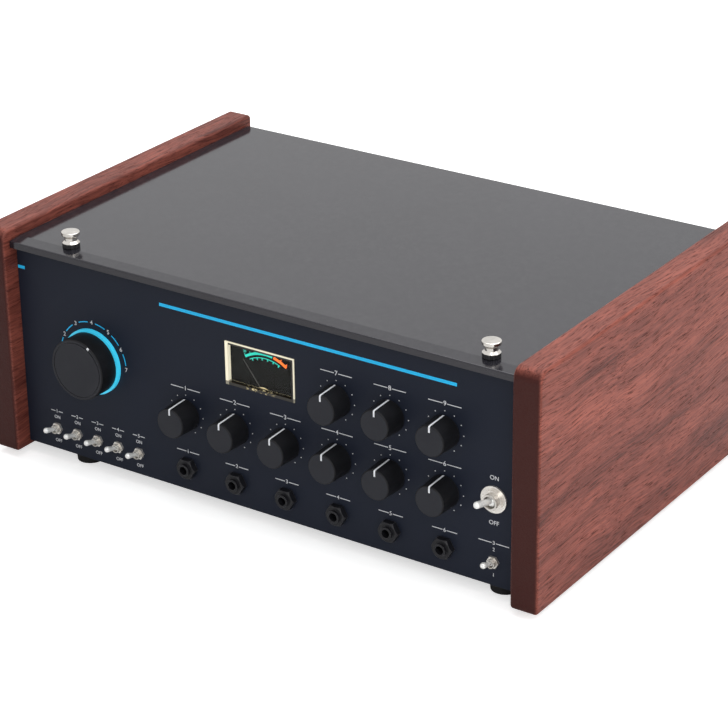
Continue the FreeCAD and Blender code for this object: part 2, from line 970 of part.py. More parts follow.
def case_screws():
    """Panel, cheek, deck and foot screws, each seated on the piece that it holds."""
    solids = []
    radius = s.panel_screw_radius
    lip_back = s.panel_thickness + s.sheet_thickness
    for x, z in lip_screws():
        tip = s.panel_thickness - s.panel_screw_depth
        front = ("PanelScrew", "y", (x, tip, z), radius, lip_back - tip)
        solids.append(screw(*front, s.panel_screw_head, (x, lip_back, z)))
        end = s.case_depth - 2 * s.sheet_thickness - s.panel_screw_depth
        back = ("RearScrew", "y", (x, end, z), radius, s.case_depth - end)
        solids.append(screw(*back, s.panel_screw_head, (x, s.case_depth, z)))
    radius = s.cheek_screw_radius
    length = s.cheek_screw_depth - s.moving_gap + s.sheet_thickness
    for y, z in cheek_screws():
        right = ("CheekScrew", "x", (inner_half(), y, z), radius, length)
        right_head = (inner_half() - s.screw_head_depth, y, z)
        solids.append(screw(*right, s.cheek_screw_head, right_head))
        left = ("CheekScrew", "x", (-inner_half() - length, y, z), radius, length)
        solids.append(screw(*left, s.cheek_screw_head, (-inner_half(), y, z)))
    for x, y in deck_posts():
        low = s.deck_top - s.deck_thickness - s.deck_screw_depth + s.moving_gap
        deck = ("DeckScrew", "z", (x, y, low), s.panel_screw_radius, s.deck_top - low)
        solids.append(screw(*deck, s.panel_screw_head, (x, y, s.deck_top)))
    for x, y in foot_places():
        seat = s.foot_recess_depth - s.foot_height
        length = s.foot_screw_depth + s.sheet_thickness - seat
        foot = ("FootScrew", "z", (x, y, seat), radius, length)
        solids.append(screw(*foot, s.cheek_screw_head, (x, y, seat - s.screw_head_depth)))
    publish("case_screws", group("CaseScrews", solids))


# Lid and what holds it


def lid():
    """A folded sheet with a front strip that falls to a short lip and two holes for the thumbscrews."""
    body = new_body("Lid")
    section = sketch_on(body, "LidSection", "YZ_Plane")
    fold = s.lid_strip_width - s.lid_overhang
    front = -s.lid_overhang
    inner = front + s.lid_thickness
    edge_top = lid_top() - s.lid_strip_drop
    lip_bottom = edge_top - s.lid_lip_height
    inner_drop = s.lid_strip_drop * (fold - inner) / s.lid_strip_width
    corners = [
        (lid_back(), lid_top()),
        (fold, lid_top()),
        (front, edge_top),
        (front, lip_bottom),
        (inner, lip_bottom),
        (inner, lid_top() - inner_drop - s.lid_thickness),
        (fold, lid_top() - s.lid_thickness),
        (lid_back(), lid_top() - s.lid_thickness),
    ]
    outline(section, corners)
    pad(body, section, s.case_width - 2 * s.lid_side_gap, both_ways=True)
    holes = sketch_on(body, "LidHoles", "XY_Plane")
    bind(holes, "AttachmentOffset.Base.z", lid_top())
    for x in (-s.thumb_left_x, s.thumb_right_x):
        circle(holes, x, s.thumb_y, s.thumb_shank_radius + s.shaft_clearance)
    pocket(body, holes, 2 * s.lid_thickness)

    def at_front(edge):
        centre = edge.CenterOfMass
        upper = abs(centre.z - edge_top.number) < 0.1
        return runs_along(edge, ALONG_X) and upper and abs(centre.y - front.number) < 0.1

    soften(body, "LidFrontEdge", s.lid_edge_radius, at_front)
    publish("lid", body)


def thumbscrew(side, name):
    """A waisted screw head with a fluted lower flange and a plain shank."""
    x = s.thumb_right_x if side > 0 else -s.thumb_left_x
    title = name.title().replace("_", "")
    waist_low = s.thumb_flange_depth + (s.thumb_flange_radius - s.thumb_waist_radius)
    waist_high = s.thumb_height - s.thumb_top_depth - (s.thumb_top_radius - s.thumb_waist_radius)
    shank_end = s.moving_gap - s.thumb_shank_length
    corners = [
        (shank_end, 0),
        (shank_end, s.thumb_shank_radius),
        (0, s.thumb_shank_radius),
        (0, s.thumb_flange_radius),
        (s.thumb_flange_depth, s.thumb_flange_radius),
        (waist_low, s.thumb_waist_radius),
        (waist_high, s.thumb_waist_radius),
        (s.thumb_height - s.thumb_top_depth, s.thumb_top_radius),
        (s.thumb_height, s.thumb_top_radius),
        (s.thumb_height, 0),
    ]
    body = turned(title, "z", corners, x, s.thumb_y, lid_top() + s.moving_gap)
    flute = sketch_on(body, f"{title}Flute", "XY_Plane")
    circle(flute, s.thumb_flange_radius + s.thumb_flute_radius / 4, 0, s.thumb_flute_radius)
    first = pocket(body, flute, s.thumb_flange_depth, backward=True)
    ring = body.newObject("PartDesign::PolarPattern", f"{title}Flutes")
    ring.Originals = [first]
    ring.Axis = (flute, ["N_Axis"])
    ring.Angle = 360
    bind(ring, "Occurrences", s.thumb_flutes)
    body.Tip = ring
    doc.recompute()

    def at_rim(edge):
        radius = s.thumb_top_radius.number
        high = ring_at(edge, s.thumb_height.number, radius, ALONG_Z)
        low = s.thumb_height.number - s.thumb_top_depth.number
        return high or ring_at(edge, low, radius, ALONG_Z)

    soften(body, f"{title}Rim", s.thumb_top_depth / 4, at_rim)
    publish(name, body)


def thumbscrew_sockets():
    """Two bushes that stand on the rail's shelf and take the thumbscrews."""
    solids = []
    for x in (-s.thumb_left_x, s.thumb_right_x):
        start = (x, s.thumb_y, rail_top())
        bush = rod("SocketBush", "z", start, s.socket_radius, s.socket_height)
        bore_radius = s.thumb_shank_radius + s.socket_clearance
        bore = rod("SocketBore", "z", start, bore_radius, s.socket_height)
        solids.append(cut("Socket", bush, bore))
    publish("thumbscrew_sockets", group("ThumbscrewSockets", solids))


def hinge_knuckle(name, x, length):
    """A length of hinge barrel, bored for the pin."""
    start = (x, hinge_axis_y(), hinge_axis_z())
    barrel = rod(f"{name}Barrel", "x", start, s.hinge_barrel_radius, length)
    bore_radius = s.hinge_pin_radius + s.shaft_clearance
    bore = rod(f"{name}Bore", "x", start, bore_radius, length)
    return barrel, bore


def lid_hinge_leaves():
    """The leaf of each hinge that lies under the lid and carries the middle knuckle."""
    solids = []
    leaf_top = lid_top() - s.lid_thickness
    leaf_z = leaf_top - s.hinge_leaf_thickness
    leaf_end = hinge_axis_y() - s.hinge_barrel_radius - s.hinge_swing_gap
    leaf_front = lid_back() - s.hinge_leaf_reach
    for side in (-1, 1):
        x = side * s.hinge_x
        corner = (x - s.hinge_length / 2, leaf_front, leaf_z)
        extent = (s.hinge_length, leaf_end - leaf_front, s.hinge_leaf_thickness)
        plate = block("LidLeaf", corner, extent)
        tab_corner = (x - s.hinge_middle_length / 2, leaf_end, leaf_z)
        tab_extent = (s.hinge_middle_length, hinge_axis_y() - leaf_end, s.hinge_leaf_thickness)
        tab = block("LidLeafTab", tab_corner, tab_extent)
        middle = x - s.hinge_middle_length / 2
        barrel, bore = hinge_knuckle("LidKnuckle", middle, s.hinge_middle_length)
        solids.append(cut("LidHingeLeaf", join("LidLeafShell", plate, tab, barrel), bore))
    publish("lid_hinge_leaves", group("LidHingeLeaves", solids))


def case_hinge_leaves():
    """The leaf of each hinge on the rear panel, with two knuckles and the pin through all three."""
    solids = []
    foot_z = hinge_axis_z() - s.hinge_barrel_radius - s.hinge_leaf_thickness
    for side in (-1, 1):
        x = side * s.hinge_x
        corner = (x - s.hinge_length / 2, s.case_depth, foot_z - s.hinge_leaf_height)
        extent = (s.hinge_length, s.hinge_leaf_thickness, s.hinge_leaf_height)
        pieces = [block("CaseLeaf", corner, extent)]
        bores = []
        length = (s.hinge_length - s.hinge_middle_length) / 2 - s.moving_gap
        for end in (x - s.hinge_length / 2, x + s.hinge_length / 2 - length):
            barrel, bore = hinge_knuckle("CaseKnuckle", end, length)
            shelf_extent = (length, hinge_axis_y() - s.case_depth, 2 * s.hinge_leaf_thickness)
            pieces.append(block("CaseKnuckleShelf", (end, s.case_depth, foot_z), shelf_extent))
            pieces.append(barrel)
            bores.append(bore)
        solids.append(cut("CaseHingeLeaf", join("CaseLeafShell", *pieces), *bores))
        pin_start = (x - s.hinge_length / 2, hinge_axis_y(), hinge_axis_z())
        solids.append(rod("HingePin", "x", pin_start, s.hinge_pin_radius, s.hinge_length))
    publish("case_hinge_leaves", group("CaseHingeLeaves", solids))


# Controls


def knobs():
    """Nine equal knobs, each with the shaft that it turns."""
    back = -s.knob_lift
    front = -s.knob_length
    recess_end = back - s.knob_recess_depth
    bore_end = -s.knob_bore_end
    bore_radius = s.shaft_radius + s.shaft_clearance
    corners = [
        (back, s.knob_recess_radius),
        (back, s.knob_radius),
        (front, s.knob_front_radius),
        (front, 0),
        (bore_end, 0),
        (bore_end, bore_radius),
        (recess_end, bore_radius),
        (recess_end, s.knob_recess_radius),
    ]

    def at_front_rim(edge):
        return ring_at(edge, front.number, s.knob_front_radius.number, ALONG_Y)

    for name, x, z in knob_places():
        title = name.title().replace("_", "")
        body = turned(title, "y", corners, x, 0, z)
        soften(body, f"{title}Rim", s.knob_edge_radius, at_front_rim)
        length = s.knob_bore_end + s.panel_thickness + s.shaft_inner_end - 2 * s.moving_gap
        start = (x, s.moving_gap - s.knob_bore_end, z)
        shaft = rod(f"{title}Shaft", "y", start, s.shaft_radius, length)
        publish(name, group(f"{title}Set", [body, shaft]))


def mode_knob():
    """The large selector knob: a plain drum with a fine groove round its face."""
    back = -(s.ring_depth + s.moving_gap)
    front = -s.mode_length
    recess_end = back - s.knob_recess_depth
    bore_end = -s.knob_bore_end
    bore_radius = s.shaft_radius + s.shaft_clearance
    groove_outer = s.mode_inlay_radius + s.mode_groove_width
    groove_floor = front + s.mode_groove_depth
    corners = [
        (back, s.knob_recess_radius),
        (back, s.mode_radius),
        (front, s.mode_radius),
        (front, groove_outer),
        (groove_floor, groove_outer),
        (groove_floor, s.mode_inlay_radius),
        (front, s.mode_inlay_radius),
        (front, 0),
        (bore_end, 0),
        (bore_end, bore_radius),
        (recess_end, bore_radius),
        (recess_end, s.knob_recess_radius),
    ]
    x = -s.mode_x
    body = turned("ModeKnobDrum", "y", corners, x, 0, s.mode_z)

    def at_front_rim(edge):
        return ring_at(edge, front.number, s.mode_radius.number, ALONG_Y)

    soften(body, "ModeKnobRim", s.mode_edge_radius, at_front_rim)
    length = s.knob_bore_end + s.panel_thickness + s.rotary_depth - 3 * s.moving_gap
    start = (x, s.moving_gap - s.knob_bore_end, s.mode_z)
    shaft = rod("ModeShaft", "y", start, s.shaft_radius, length)
    publish("mode_knob", group("ModeKnob", [body, shaft]))


def mode_ring():
    start = (-s.mode_x, -s.ring_depth, s.mode_z)
    disc = rod("RingDisc", "y", start, s.ring_radius, s.ring_depth)
    middle = rod("RingMiddle", "y", start, s.ring_inner_radius, s.ring_depth)
    publish("mode_ring", cut("ModeRing", disc, middle))


def mode_switch():
    """The rotary switch behind the panel: index plate, two posts and two contact wafers."""
    x = -s.mode_x
    z = s.mode_z
    back = s.panel_thickness
    reach = s.rotary_bush_reach
    bush = rod("RotaryBush", "y", (x, -reach, z), s.rotary_bush_radius, reach + back)
    plate = rod("RotaryPlate", "y", (x, back, z), s.rotary_radius, s.rotary_depth)
    pieces = [bush, plate]
    plate_back = back + s.rotary_depth
    for number in (1, 2):
        y = plate_back + number * s.wafer_pitch
        pieces.append(rod("Wafer", "y", (x, y, z), s.wafer_radius, s.wafer_thickness))
    post_length = 2 * s.wafer_pitch + 2 * s.wafer_thickness
    for side in (-1, 1):
        start = (x + side * s.wafer_post_x, plate_back, z)
        pieces.append(rod("WaferPost", "y", start, s.wafer_post_radius, post_length))
    bore_radius = s.shaft_radius + s.shaft_clearance
    bore_length = reach + back + s.rotary_depth - s.moving_gap
    bore = rod("RotaryBore", "y", (x, -reach, z), bore_radius, bore_length)
    publish("mode_switch", cut("ModeSwitch", join("RotaryShell", *pieces), bore))


def potentiometers():
    solids = []
    for _, x, z in knob_places():
        front = (x, -s.pot_bush_reach, z)
        bush_length = s.pot_bush_reach + s.panel_thickness
        bush = rod("PotBush", "y", front, s.pot_bush_radius, bush_length)
        can = rod("PotCan", "y", (x, s.panel_thickness, z), s.pot_radius, s.pot_depth)
        bore_radius = s.shaft_radius + s.shaft_clearance
        bore_length = bush_length + s.shaft_inner_end - s.hole_clearance
        bore = rod("PotBore", "y", front, bore_radius, bore_length)
        solids.append(cut("Potentiometer", join("PotShell", bush, can), bore))
    publish("potentiometers", group("Potentiometers", solids))


def nut(name, x, z, across, depth, thread_radius):
    start = (x, -depth, z)
    blank = hexagon(f"{name}Blank", start, across, depth)
    bore = rod(f"{name}Bore", "y", start, thread_radius + s.shaft_clearance, depth)
    return cut(name, blank, bore)


def panel_nuts():
    """Hexagon nuts of the potentiometers, the mode switch and the small toggles, and the power switch's pair."""
    solids = []
    for _, x, z in knob_places():
        solids.append(nut("PotNut", x, z, s.pot_nut_across, s.pot_nut_depth, s.pot_bush_radius))
    rotary = (s.rotary_nut_across, s.rotary_nut_depth, s.rotary_bush_radius)
    solids.append(nut("RotaryNut", -s.mode_x, s.mode_z, *rotary))
    toggle = (s.toggle_nut_across, s.toggle_nut_depth, s.toggle_bush_radius)
    for _, x, z in small_toggle_places():
        solids.append(nut("ToggleNut", x, z, *toggle))
    x = s.switch_column_x
    washer_start = (x, -s.power_washer_depth, s.power_z)
    washer = rod("PowerWasherDisc", "y", washer_start, s.power_washer_radius, s.power_washer_depth)
    nut_start = (x, -s.power_washer_depth - s.power_nut_depth, s.power_z)
    ring = rod("PowerNutRing", "y", nut_start, s.power_nut_radius, s.power_nut_depth)
    bore_radius = s.power_bush_radius + s.shaft_clearance
    for name, disc, start in (("PowerWasher", washer, washer_start), ("PowerNut", ring, nut_start)):
        bore = rod(f"{name}Bore", "y", start, bore_radius, s.power_bush_reach)
        solids.append(cut(name, disc, bore))
    publish("panel_nuts", group("PanelNuts", solids))


def lever(name, x, z, lean, pivot_depth, length, root_radius, tip_radius, ball_radius):
    """A leaning bat lever on its pivot ball."""
    stem = doc.addObject("Part::Cone", f"{name}Stem")
    bind(stem, "Radius1", root_radius)
    bind(stem, "Radius2", tip_radius)
    bind(stem, "Height", length)
    turn = FreeCAD.Rotation(FreeCAD.Vector(1, 0, 0), 90 - lean.number)
    stem.Placement = FreeCAD.Placement(FreeCAD.Vector(), turn)
    bind(stem, "Placement.Rotation.Angle", 90 - lean)
    place(stem, x, -pivot_depth, z)
    pivot = ball(f"{name}Ball", (x, -pivot_depth, z), ball_radius)
    tip_place = (x, -pivot_depth - length * cosine(lean), z + length * sine(lean))
    tip = ball(f"{name}Tip", tip_place, tip_radius)
    return join(name, pivot, stem, tip)


def toggles():
    """Six small levers and the power lever, all up."""
    length = (s.toggle_reach - s.toggle_pivot_depth - s.toggle_tip_radius) / cosine(s.toggle_lean)
    small = (
        s.toggle_lean,
        s.toggle_pivot_depth,
        length,
        s.toggle_root_radius,
        s.toggle_tip_radius,
        s.toggle_ball_radius,
    )
    for name, x, z in small_toggle_places():
        publish(name, lever(name.title().replace("_", ""), x, z, *small))
    length = (s.front_reach - s.power_pivot_depth - s.power_tip_radius) / cosine(s.power_lean)
    large = (
        s.power_lean,
        s.power_pivot_depth,
        length,
        s.power_root_radius,
        s.power_tip_radius,
        s.power_ball_radius,
    )
    publish("toggle_power", lever("TogglePower", s.switch_column_x, s.power_z, *large))


def toggle_bodies():
    """The switch bodies behind the panel, each with the bush that its lever stands in."""
    solids = []
    back = s.panel_thickness
    for _, x, z in small_toggle_places():
        reach = s.toggle_bush_reach
        bush = rod("ToggleBush", "y", (x, -reach, z), s.toggle_bush_radius, reach + back)
        sides = (s.toggle_body_width, s.toggle_body_height)
        case = centred("ToggleCase", x, z, *sides, back, s.toggle_body_depth)
        bore = rod("ToggleBore", "y", (x, -reach, z), s.toggle_bore_radius, reach + back)
        solids.append(cut("ToggleBody", join("ToggleShell", bush, case), bore))
    x = s.switch_column_x
    z = s.power_z
    reach = s.power_bush_reach
    bush = rod("PowerBush", "y", (x, -reach, z), s.power_bush_radius, reach + back)
    sides = (s.power_body_width, s.power_body_height)
    case = centred("PowerCase", x, z, *sides, back, s.power_body_depth)
    bore = rod("PowerBore", "y", (x, -reach, z), s.power_bore_radius, reach + back)
    solids.append(cut("PowerBody", join("PowerShell", bush, case), bore))
    publish("toggle_bodies", group("ToggleBodies", solids))


def jack_bodies():
    solids = []
    for x in jack_places():
        start = (x, -s.jack_barrel_reach, s.jack_row)
        barrel_length = s.jack_barrel_reach + s.panel_thickness
        barrel = rod("JackBarrel", "y", start, s.jack_barrel_radius, barrel_length)
        width = s.jack_body_width
        case = centred(
            "JackCase", x, s.jack_row, width, width, s.panel_thickness, s.jack_body_depth
        )
        hole = rod("JackHole", "y", start, s.jack_hole_radius, s.jack_hole_depth)
        solids.append(cut("Jack", join("JackShell", barrel, case), hole))
    publish("jack_bodies", group("JackBodies", solids))


def jack_nuts():
    """Plastic hexagon nuts whose front corners are turned off at a slant."""
    solids = []
    corner_radius = s.jack_nut_across / 2 / cosine(30)
    front_radius = corner_radius - s.jack_chamfer
    back_radius = corner_radius + (s.jack_nut_depth - s.jack_chamfer)
    for x in jack_places():
        start = (x, -s.jack_nut_depth, s.jack_row)
        blank = hexagon("JackNutBlank", start, s.jack_nut_across, s.jack_nut_depth)
        slant = cone("JackNutSlant", "y", start, front_radius, back_radius, s.jack_nut_depth)
        bore_radius = s.jack_barrel_radius + s.shaft_clearance
        bore = rod("JackNutBore", "y", start, bore_radius, s.jack_nut_depth)
        solids.append(cut("JackNut", common("JackNutShape", blank, slant), bore))
    publish("jack_nuts", group("JackNuts", solids))


# Level meter


def meter_case():
    """A box behind the panel, open to the front, with the coil movement on its rear wall."""
    x = s.meter_x
    z = s.meter_z
    y = s.panel_thickness
    wall = s.meter_wall
    width = s.meter_case_width
    height = s.meter_case_height
    depth = s.meter_case_depth
    outer = centred("MeterCaseOuter", x, z, width, height, y, depth)
    cavity_sides = (width - 2 * wall, height - 2 * wall)
    cavity = centred("MeterCaseCavity", x, z, *cavity_sides, y, depth - wall)
    shell = cut("MeterCaseShell", outer, cavity)
    dial_back = s.dial_depth + s.dial_thickness
    pivot = (x, dial_back + s.seat_gap, s.needle_pivot_z + s.movement_radius)
    movement_length = y + depth - wall - dial_back - s.seat_gap
    movement = rod("MeterMovement", "y", pivot, s.movement_radius, movement_length)
    publish("meter_case", join("MeterCase", shell, movement))


def meter_bezel():
    """The pale frame in the panel's window and the half-round cover over the needle's pivot."""
    x = s.meter_x
    z = s.meter_z
    sides = (s.meter_width - 2 * s.seat_gap, s.meter_height - 2 * s.seat_gap)
    depth = s.bezel_proud + s.panel_thickness
    frame = centred("BezelFrame", x, z, *sides, -s.bezel_proud, depth)
    view = (s.meter_width - 2 * s.bezel_width, s.meter_height - 2 * s.bezel_width)
    hole = centred("BezelHole", x, z, *view, -s.bezel_proud, depth)
    bezel = cut("BezelRing", frame, hole)
    cover_y = s.panel_thickness
    cover_start = (x, cover_y, s.needle_pivot_z)
    disc = rod("PivotDisc", "y", cover_start, s.pivot_cover_radius, s.pivot_cover_thickness)
    lower_half = block(
        "PivotLowerHalf",
        (x - s.pivot_cover_radius, cover_y, s.needle_pivot_z - s.pivot_cover_radius),
        (2 * s.pivot_cover_radius, s.pivot_cover_thickness, s.pivot_cover_radius),
    )
    half = cut("PivotCover", disc, lower_half)
    publish("meter_bezel", group("MeterBezel", [join("BezelWithCover", bezel, half)]))


def meter_window():
    width = s.meter_width - 2 * s.bezel_width - 2 * s.seat_gap
    height = s.meter_height - 2 * s.bezel_width - 2 * s.seat_gap
    plate = (s.window_depth, s.window_thickness)
    publish("meter_window", centred("MeterWindow", s.meter_x, s.meter_z, width, height, *plate))


def meter_dial():
    """The dial plate, pierced for the needle's pin."""
    width = s.meter_case_width - 2 * s.meter_wall - 2 * s.seat_gap
    height = s.meter_case_height - 2 * s.meter_wall - 2 * s.seat_gap
    depth = (s.dial_depth, s.dial_thickness)
    plate = centred("DialPlate", s.meter_x, s.meter_z, width, height, *depth)
    start = (s.meter_x, s.dial_depth, s.needle_pivot_z)
    hole_radius = s.needle_pin_radius + s.moving_gap
    hole = rod("DialHole", "y", start, hole_radius, s.dial_thickness)
    publish("meter_dial", cut("MeterDial", plate, hole))


def meter_needle():
    """A thin pointer on a hub whose pin passes through the dial."""
    x = s.meter_x
    z = s.needle_pivot_z
    pointer = doc.addObject("Part::Cone", "NeedlePointer")
    bind(pointer, "Radius1", s.needle_width / 2)
    bind(pointer, "Radius2", s.needle_thickness / 2)
    bind(pointer, "Height", s.needle_length)
    turn = FreeCAD.Rotation(FreeCAD.Vector(0, -1, 0), s.needle_lean.number)
    pointer.Placement = FreeCAD.Placement(FreeCAD.Vector(), turn)
    bind(pointer, "Placement.Rotation.Angle", s.needle_lean)
    place(pointer, x, s.needle_depth, z)
    hub_start = (x, s.needle_depth - s.needle_width, z)
    hub = rod("NeedleHub", "y", hub_start, s.needle_hub_radius, 2 * s.needle_width)
    pin_length = s.dial_depth + s.dial_thickness - s.needle_depth
    pin = rod("NeedlePin", "y", (x, s.needle_depth, z), s.needle_pin_radius, pin_length)
    publish("meter_needle", join("MeterNeedle", pointer, hub, pin))


# Tape deck


def deck_plate():
    body = new_body("DeckPlate", z=s.deck_top)
    sheet = sketch_on(body, "DeckOutline", "XY_Plane")
    depth = s.deck_back - s.deck_front
    rectangle(sheet, 0, s.deck_front + depth / 2, s.deck_width, depth)
    pad(body, sheet, s.deck_thickness, backward=True)
    holes = sketch_on(body, "DeckHoles", "XY_Plane")
    for x, y in deck_posts():
        circle(holes, x, y, s.panel_screw_radius + s.hole_clearance)
    circle(holes, s.capstan_x, capstan_y(), s.bush_radius + s.hole_clearance)
    pocket(body, holes, s.deck_thickness)
    publish("deck_plate", body)


def board_post_places():
    inset = s.board_post_inset
    left = s.board_x - s.board_width / 2 + inset
    right = s.board_x + s.board_width / 2 - inset
    rows = (s.board_y + inset, s.board_y + s.board_depth - inset)
    return [(x, y) for y in rows for x in (left, right)]


def standoffs():
    """Four tall posts under the deck and four short ones under the main board."""
    solids = []
    floor = s.sheet_thickness
    height = s.deck_top - s.deck_thickness - floor
    for x, y in deck_posts():
        post = rod("DeckPost", "z", (x, y, floor), s.post_radius, height)
        hole_start = (x, y, s.deck_top - s.deck_thickness - s.deck_screw_depth)
        hole_radius = s.panel_screw_radius + s.shaft_clearance
        hole = rod("DeckPostHole", "z", hole_start, hole_radius, s.deck_screw_depth)
        solids.append(cut("DeckStandoff", post, hole))
    for x, y in board_post_places():
        solids.append(rod("BoardPost", "z", (x, y, floor), s.board_post_radius, s.board_lift))
    publish("standoffs", group("Standoffs", solids))


def tape_heads():
    """Five heads in a row in front of the tape, each with a rounded face towards it."""
    solids = []
    face_radius = s.head_width / 2
    for number in range(5):
        x = number * s.head_pitch - s.head_x
        y = s.tape_y - s.tape_thickness / 2 - s.moving_gap - face_radius
        nose = rod("HeadNose", "z", (x, y, s.deck_top), face_radius, s.head_height)
        back_depth = s.head_depth - face_radius
        corner = (x - face_radius, y - back_depth, s.deck_top)
        can = block("HeadCan", corner, (s.head_width, back_depth, s.head_height))
        solids.append(join("TapeHead", nose, can))
    publish("tape_heads", group("TapeHeads", solids))


def deck_guides():
    """Two flanged tape guides, the pinch arm's pivot post and the capstan's bush."""
    solids = []
    turn = s.tape_turn_radius
    radius = turn - s.tape_thickness / 2 - s.moving_gap
    height = s.tape_lift + s.tape_width + s.moving_gap
    for x in (turn - s.tape_left_x, s.tape_right_x - turn):
        y = s.tape_y + turn
        post = rod("GuidePost", "z", (x, y, s.deck_top), radius, height)
        flange_start = (x, y, s.deck_top + height)
        flange_radius = s.guide_flange_radius
        flange = rod("GuideFlange", "z", flange_start, flange_radius, s.guide_flange_depth)
        solids.append(join("TapeGuide", post, flange))
    pivot_start = (pinch_pivot_x(), roller_y(), s.deck_top)
    pivot_height = s.pinch_boss_height + s.moving_gap
    solids.append(rod("PinchPost", "z", pivot_start, s.pinch_post_radius, pivot_height))
    x = s.capstan_x
    y = capstan_y()
    flange_radius = s.bush_flange_radius
    flange = rod("BushFlange", "z", (x, y, s.deck_top), flange_radius, s.bush_flange_depth)
    stem = rod("BushStem", "z", (x, y, s.deck_top - s.bush_stem), s.bush_radius, s.bush_stem)
    bore_radius = s.capstan_radius + s.shaft_clearance
    bore_length = s.bush_stem + s.bush_flange_depth
    bore = rod("BushBore", "z", (x, y, s.deck_top - s.bush_stem), bore_radius, bore_length)
    solids.append(cut("CapstanBush", join("BushShell", flange, stem), bore))
    publish("deck_guides", group("DeckGuides", solids))


def capstan_flywheel():
    """A heavy wheel under the deck on the shaft that drives the tape."""
    bottom = s.bracket_top - s.bracket_thickness
    start = (s.capstan_x, capstan_y(), s.drive_plane)
    wheel = rod("FlywheelDisc", "z", start, s.flywheel_radius, s.pulley_depth)
    shaft_start = (s.capstan_x, capstan_y(), bottom)
    shaft = rod("CapstanShaft", "z", shaft_start, s.capstan_radius, s.capstan_top - bottom)
    publish("capstan_flywheel", join("CapstanFlywheel", wheel, shaft))


def motor_pulley():
    start = (motor_x(), capstan_y(), s.drive_plane)
    wheel = rod("PulleyWheel", "z", start, s.pulley_radius, s.pulley_depth)
    low = s.bracket_top - s.bracket_thickness - s.motor_shaft_depth + s.moving_gap
    shaft_length = s.drive_plane + s.pulley_depth - low
    shaft_start = (motor_x(), capstan_y(), low)
    shaft = rod("MotorShaft", "z", shaft_start, s.motor_shaft_radius, shaft_length)
    publish("motor_pulley", join("MotorPulley", wheel, shaft))


def drive_motor():
    top = s.bracket_top - s.bracket_thickness
    x = motor_x()
    y = capstan_y()
    can = rod("MotorCan", "z", (x, y, top - s.motor_height), s.motor_radius, s.motor_height)
    boss_radius = s.motor_boss_radius
    boss = rod("MotorBoss", "z", (x, y, top), boss_radius, s.bracket_thickness)
    bore_radius = s.motor_shaft_radius + s.shaft_clearance
    bore_length = s.motor_shaft_depth + s.bracket_thickness
    bore = rod("MotorBore", "z", (x, y, top - s.motor_shaft_depth), bore_radius, bore_length)
    publish("drive_motor", cut("DriveMotor", join("MotorShell", can, boss), bore))


def drive_bracket():
    """A channel hung under the deck that carries the motor and the flywheel's lower end."""
    floor = s.bracket_top - s.bracket_thickness
    left = motor_x() - s.bracket_end / 2
    length = s.pulley_spacing + s.bracket_end
    front = capstan_y() - s.bracket_span / 2
    base = block("BracketBase", (left, front, floor), (length, s.bracket_span, s.bracket_thickness))
    pieces = [base]
    leg_height = s.deck_top - s.deck_thickness - floor
    for y in (front, front + s.bracket_span - s.bracket_thickness):
        leg_size = (length, s.bracket_thickness, leg_height)
        pieces.append(block("BracketLeg", (left, y, floor), leg_size))
    thickness = s.bracket_thickness
    motor_hole_radius = s.motor_boss_radius + s.hole_clearance
    motor_hole = rod("MotorHole", "z", (motor_x(), capstan_y(), floor), motor_hole_radius, thickness)
    shaft_radius = s.capstan_radius + s.shaft_clearance
    shaft_hole = rod("ShaftHole", "z", (s.capstan_x, capstan_y(), floor), shaft_radius, thickness)
    publish("drive_bracket", cut("DriveBracket", join("BracketShell", *pieces), motor_hole, shaft_hole))


def pinch_arm():
    """A flat lever with a boss on the pivot post and a pin for the roller."""
    x = pinch_pivot_x()
    y = roller_y()
    z = s.deck_top + s.moving_gap
    boss = rod("ArmBoss", "z", (x, y, z), s.pinch_boss_radius, s.pinch_boss_height)
    bar_corner = (s.capstan_x, y - s.pinch_arm_width / 2, z)
    bar_size = (s.pinch_arm_length, s.pinch_arm_width, s.pinch_arm_thickness)
    bar = block("ArmBar", bar_corner, bar_size)
    end = rod("ArmEnd", "z", (s.capstan_x, y, z), s.pinch_arm_width / 2, s.pinch_arm_thickness)
    pin_length = s.pinch_arm_thickness + s.roller_depth + 3 * s.moving_gap
    pin = rod("RollerPin", "z", (s.capstan_x, y, z), s.roller_pin_radius, pin_length)
    bore_radius = s.pinch_post_radius + s.shaft_clearance
    bore = rod("ArmBore", "z", (x, y, z), bore_radius, s.pinch_boss_height)
    publish("pinch_arm", cut("PinchArm", join("ArmShell", boss, bar, end, pin), bore))


def pinch_roller():
    z = s.deck_top + s.pinch_arm_thickness + 2 * s.moving_gap
    start = (s.capstan_x, roller_y(), z)
    rubber = rod("RollerRubber", "z", start, s.roller_radius, s.roller_depth)
    bore_radius = s.roller_pin_radius + s.shaft_clearance
    bore = rod("RollerBore", "z", start, bore_radius, s.roller_depth)
    publish("pinch_roller", cut("PinchRoller", rubber, bore))


def rounded_loop(points, radii):
    """A closed wire through the points, with an arc of its own radius at each corner."""
    count = len(points)
    ends = []
    for index, point in enumerate(points):
        before = (points[index - 1] - point).normalize()
        after = (points[(index + 1) % count] - point).normalize()
        half_angle = before.getAngle(after) / 2
        reach = radii[index] / math.tan(half_angle)
        middle = (before + after).normalize() * (radii[index] / math.sin(half_angle) - radii[index])
        ends.append((point + before * reach, point + middle, point + after * reach))
    edges = []
    for index, (start, middle, finish) in enumerate(ends):
        edges.append(Part.Arc(start, middle, finish).toShape())
        following = ends[(index + 1) % count][0]
        edges.append(Part.LineSegment(finish, following).toShape())
    return Part.Wire(edges)


def band(wire, thickness, height):
    """An upright band of a thickness that follows a closed wire."""
    outer = Part.Face(wire.makeOffset2D(thickness / 2))
    inner = Part.Face(wire.makeOffset2D(-thickness / 2))
    if outer.Area < inner.Area:
        outer, inner = inner, outer
    return outer.cut(inner).Faces[0].extrude(FreeCAD.Vector(0, 0, height))


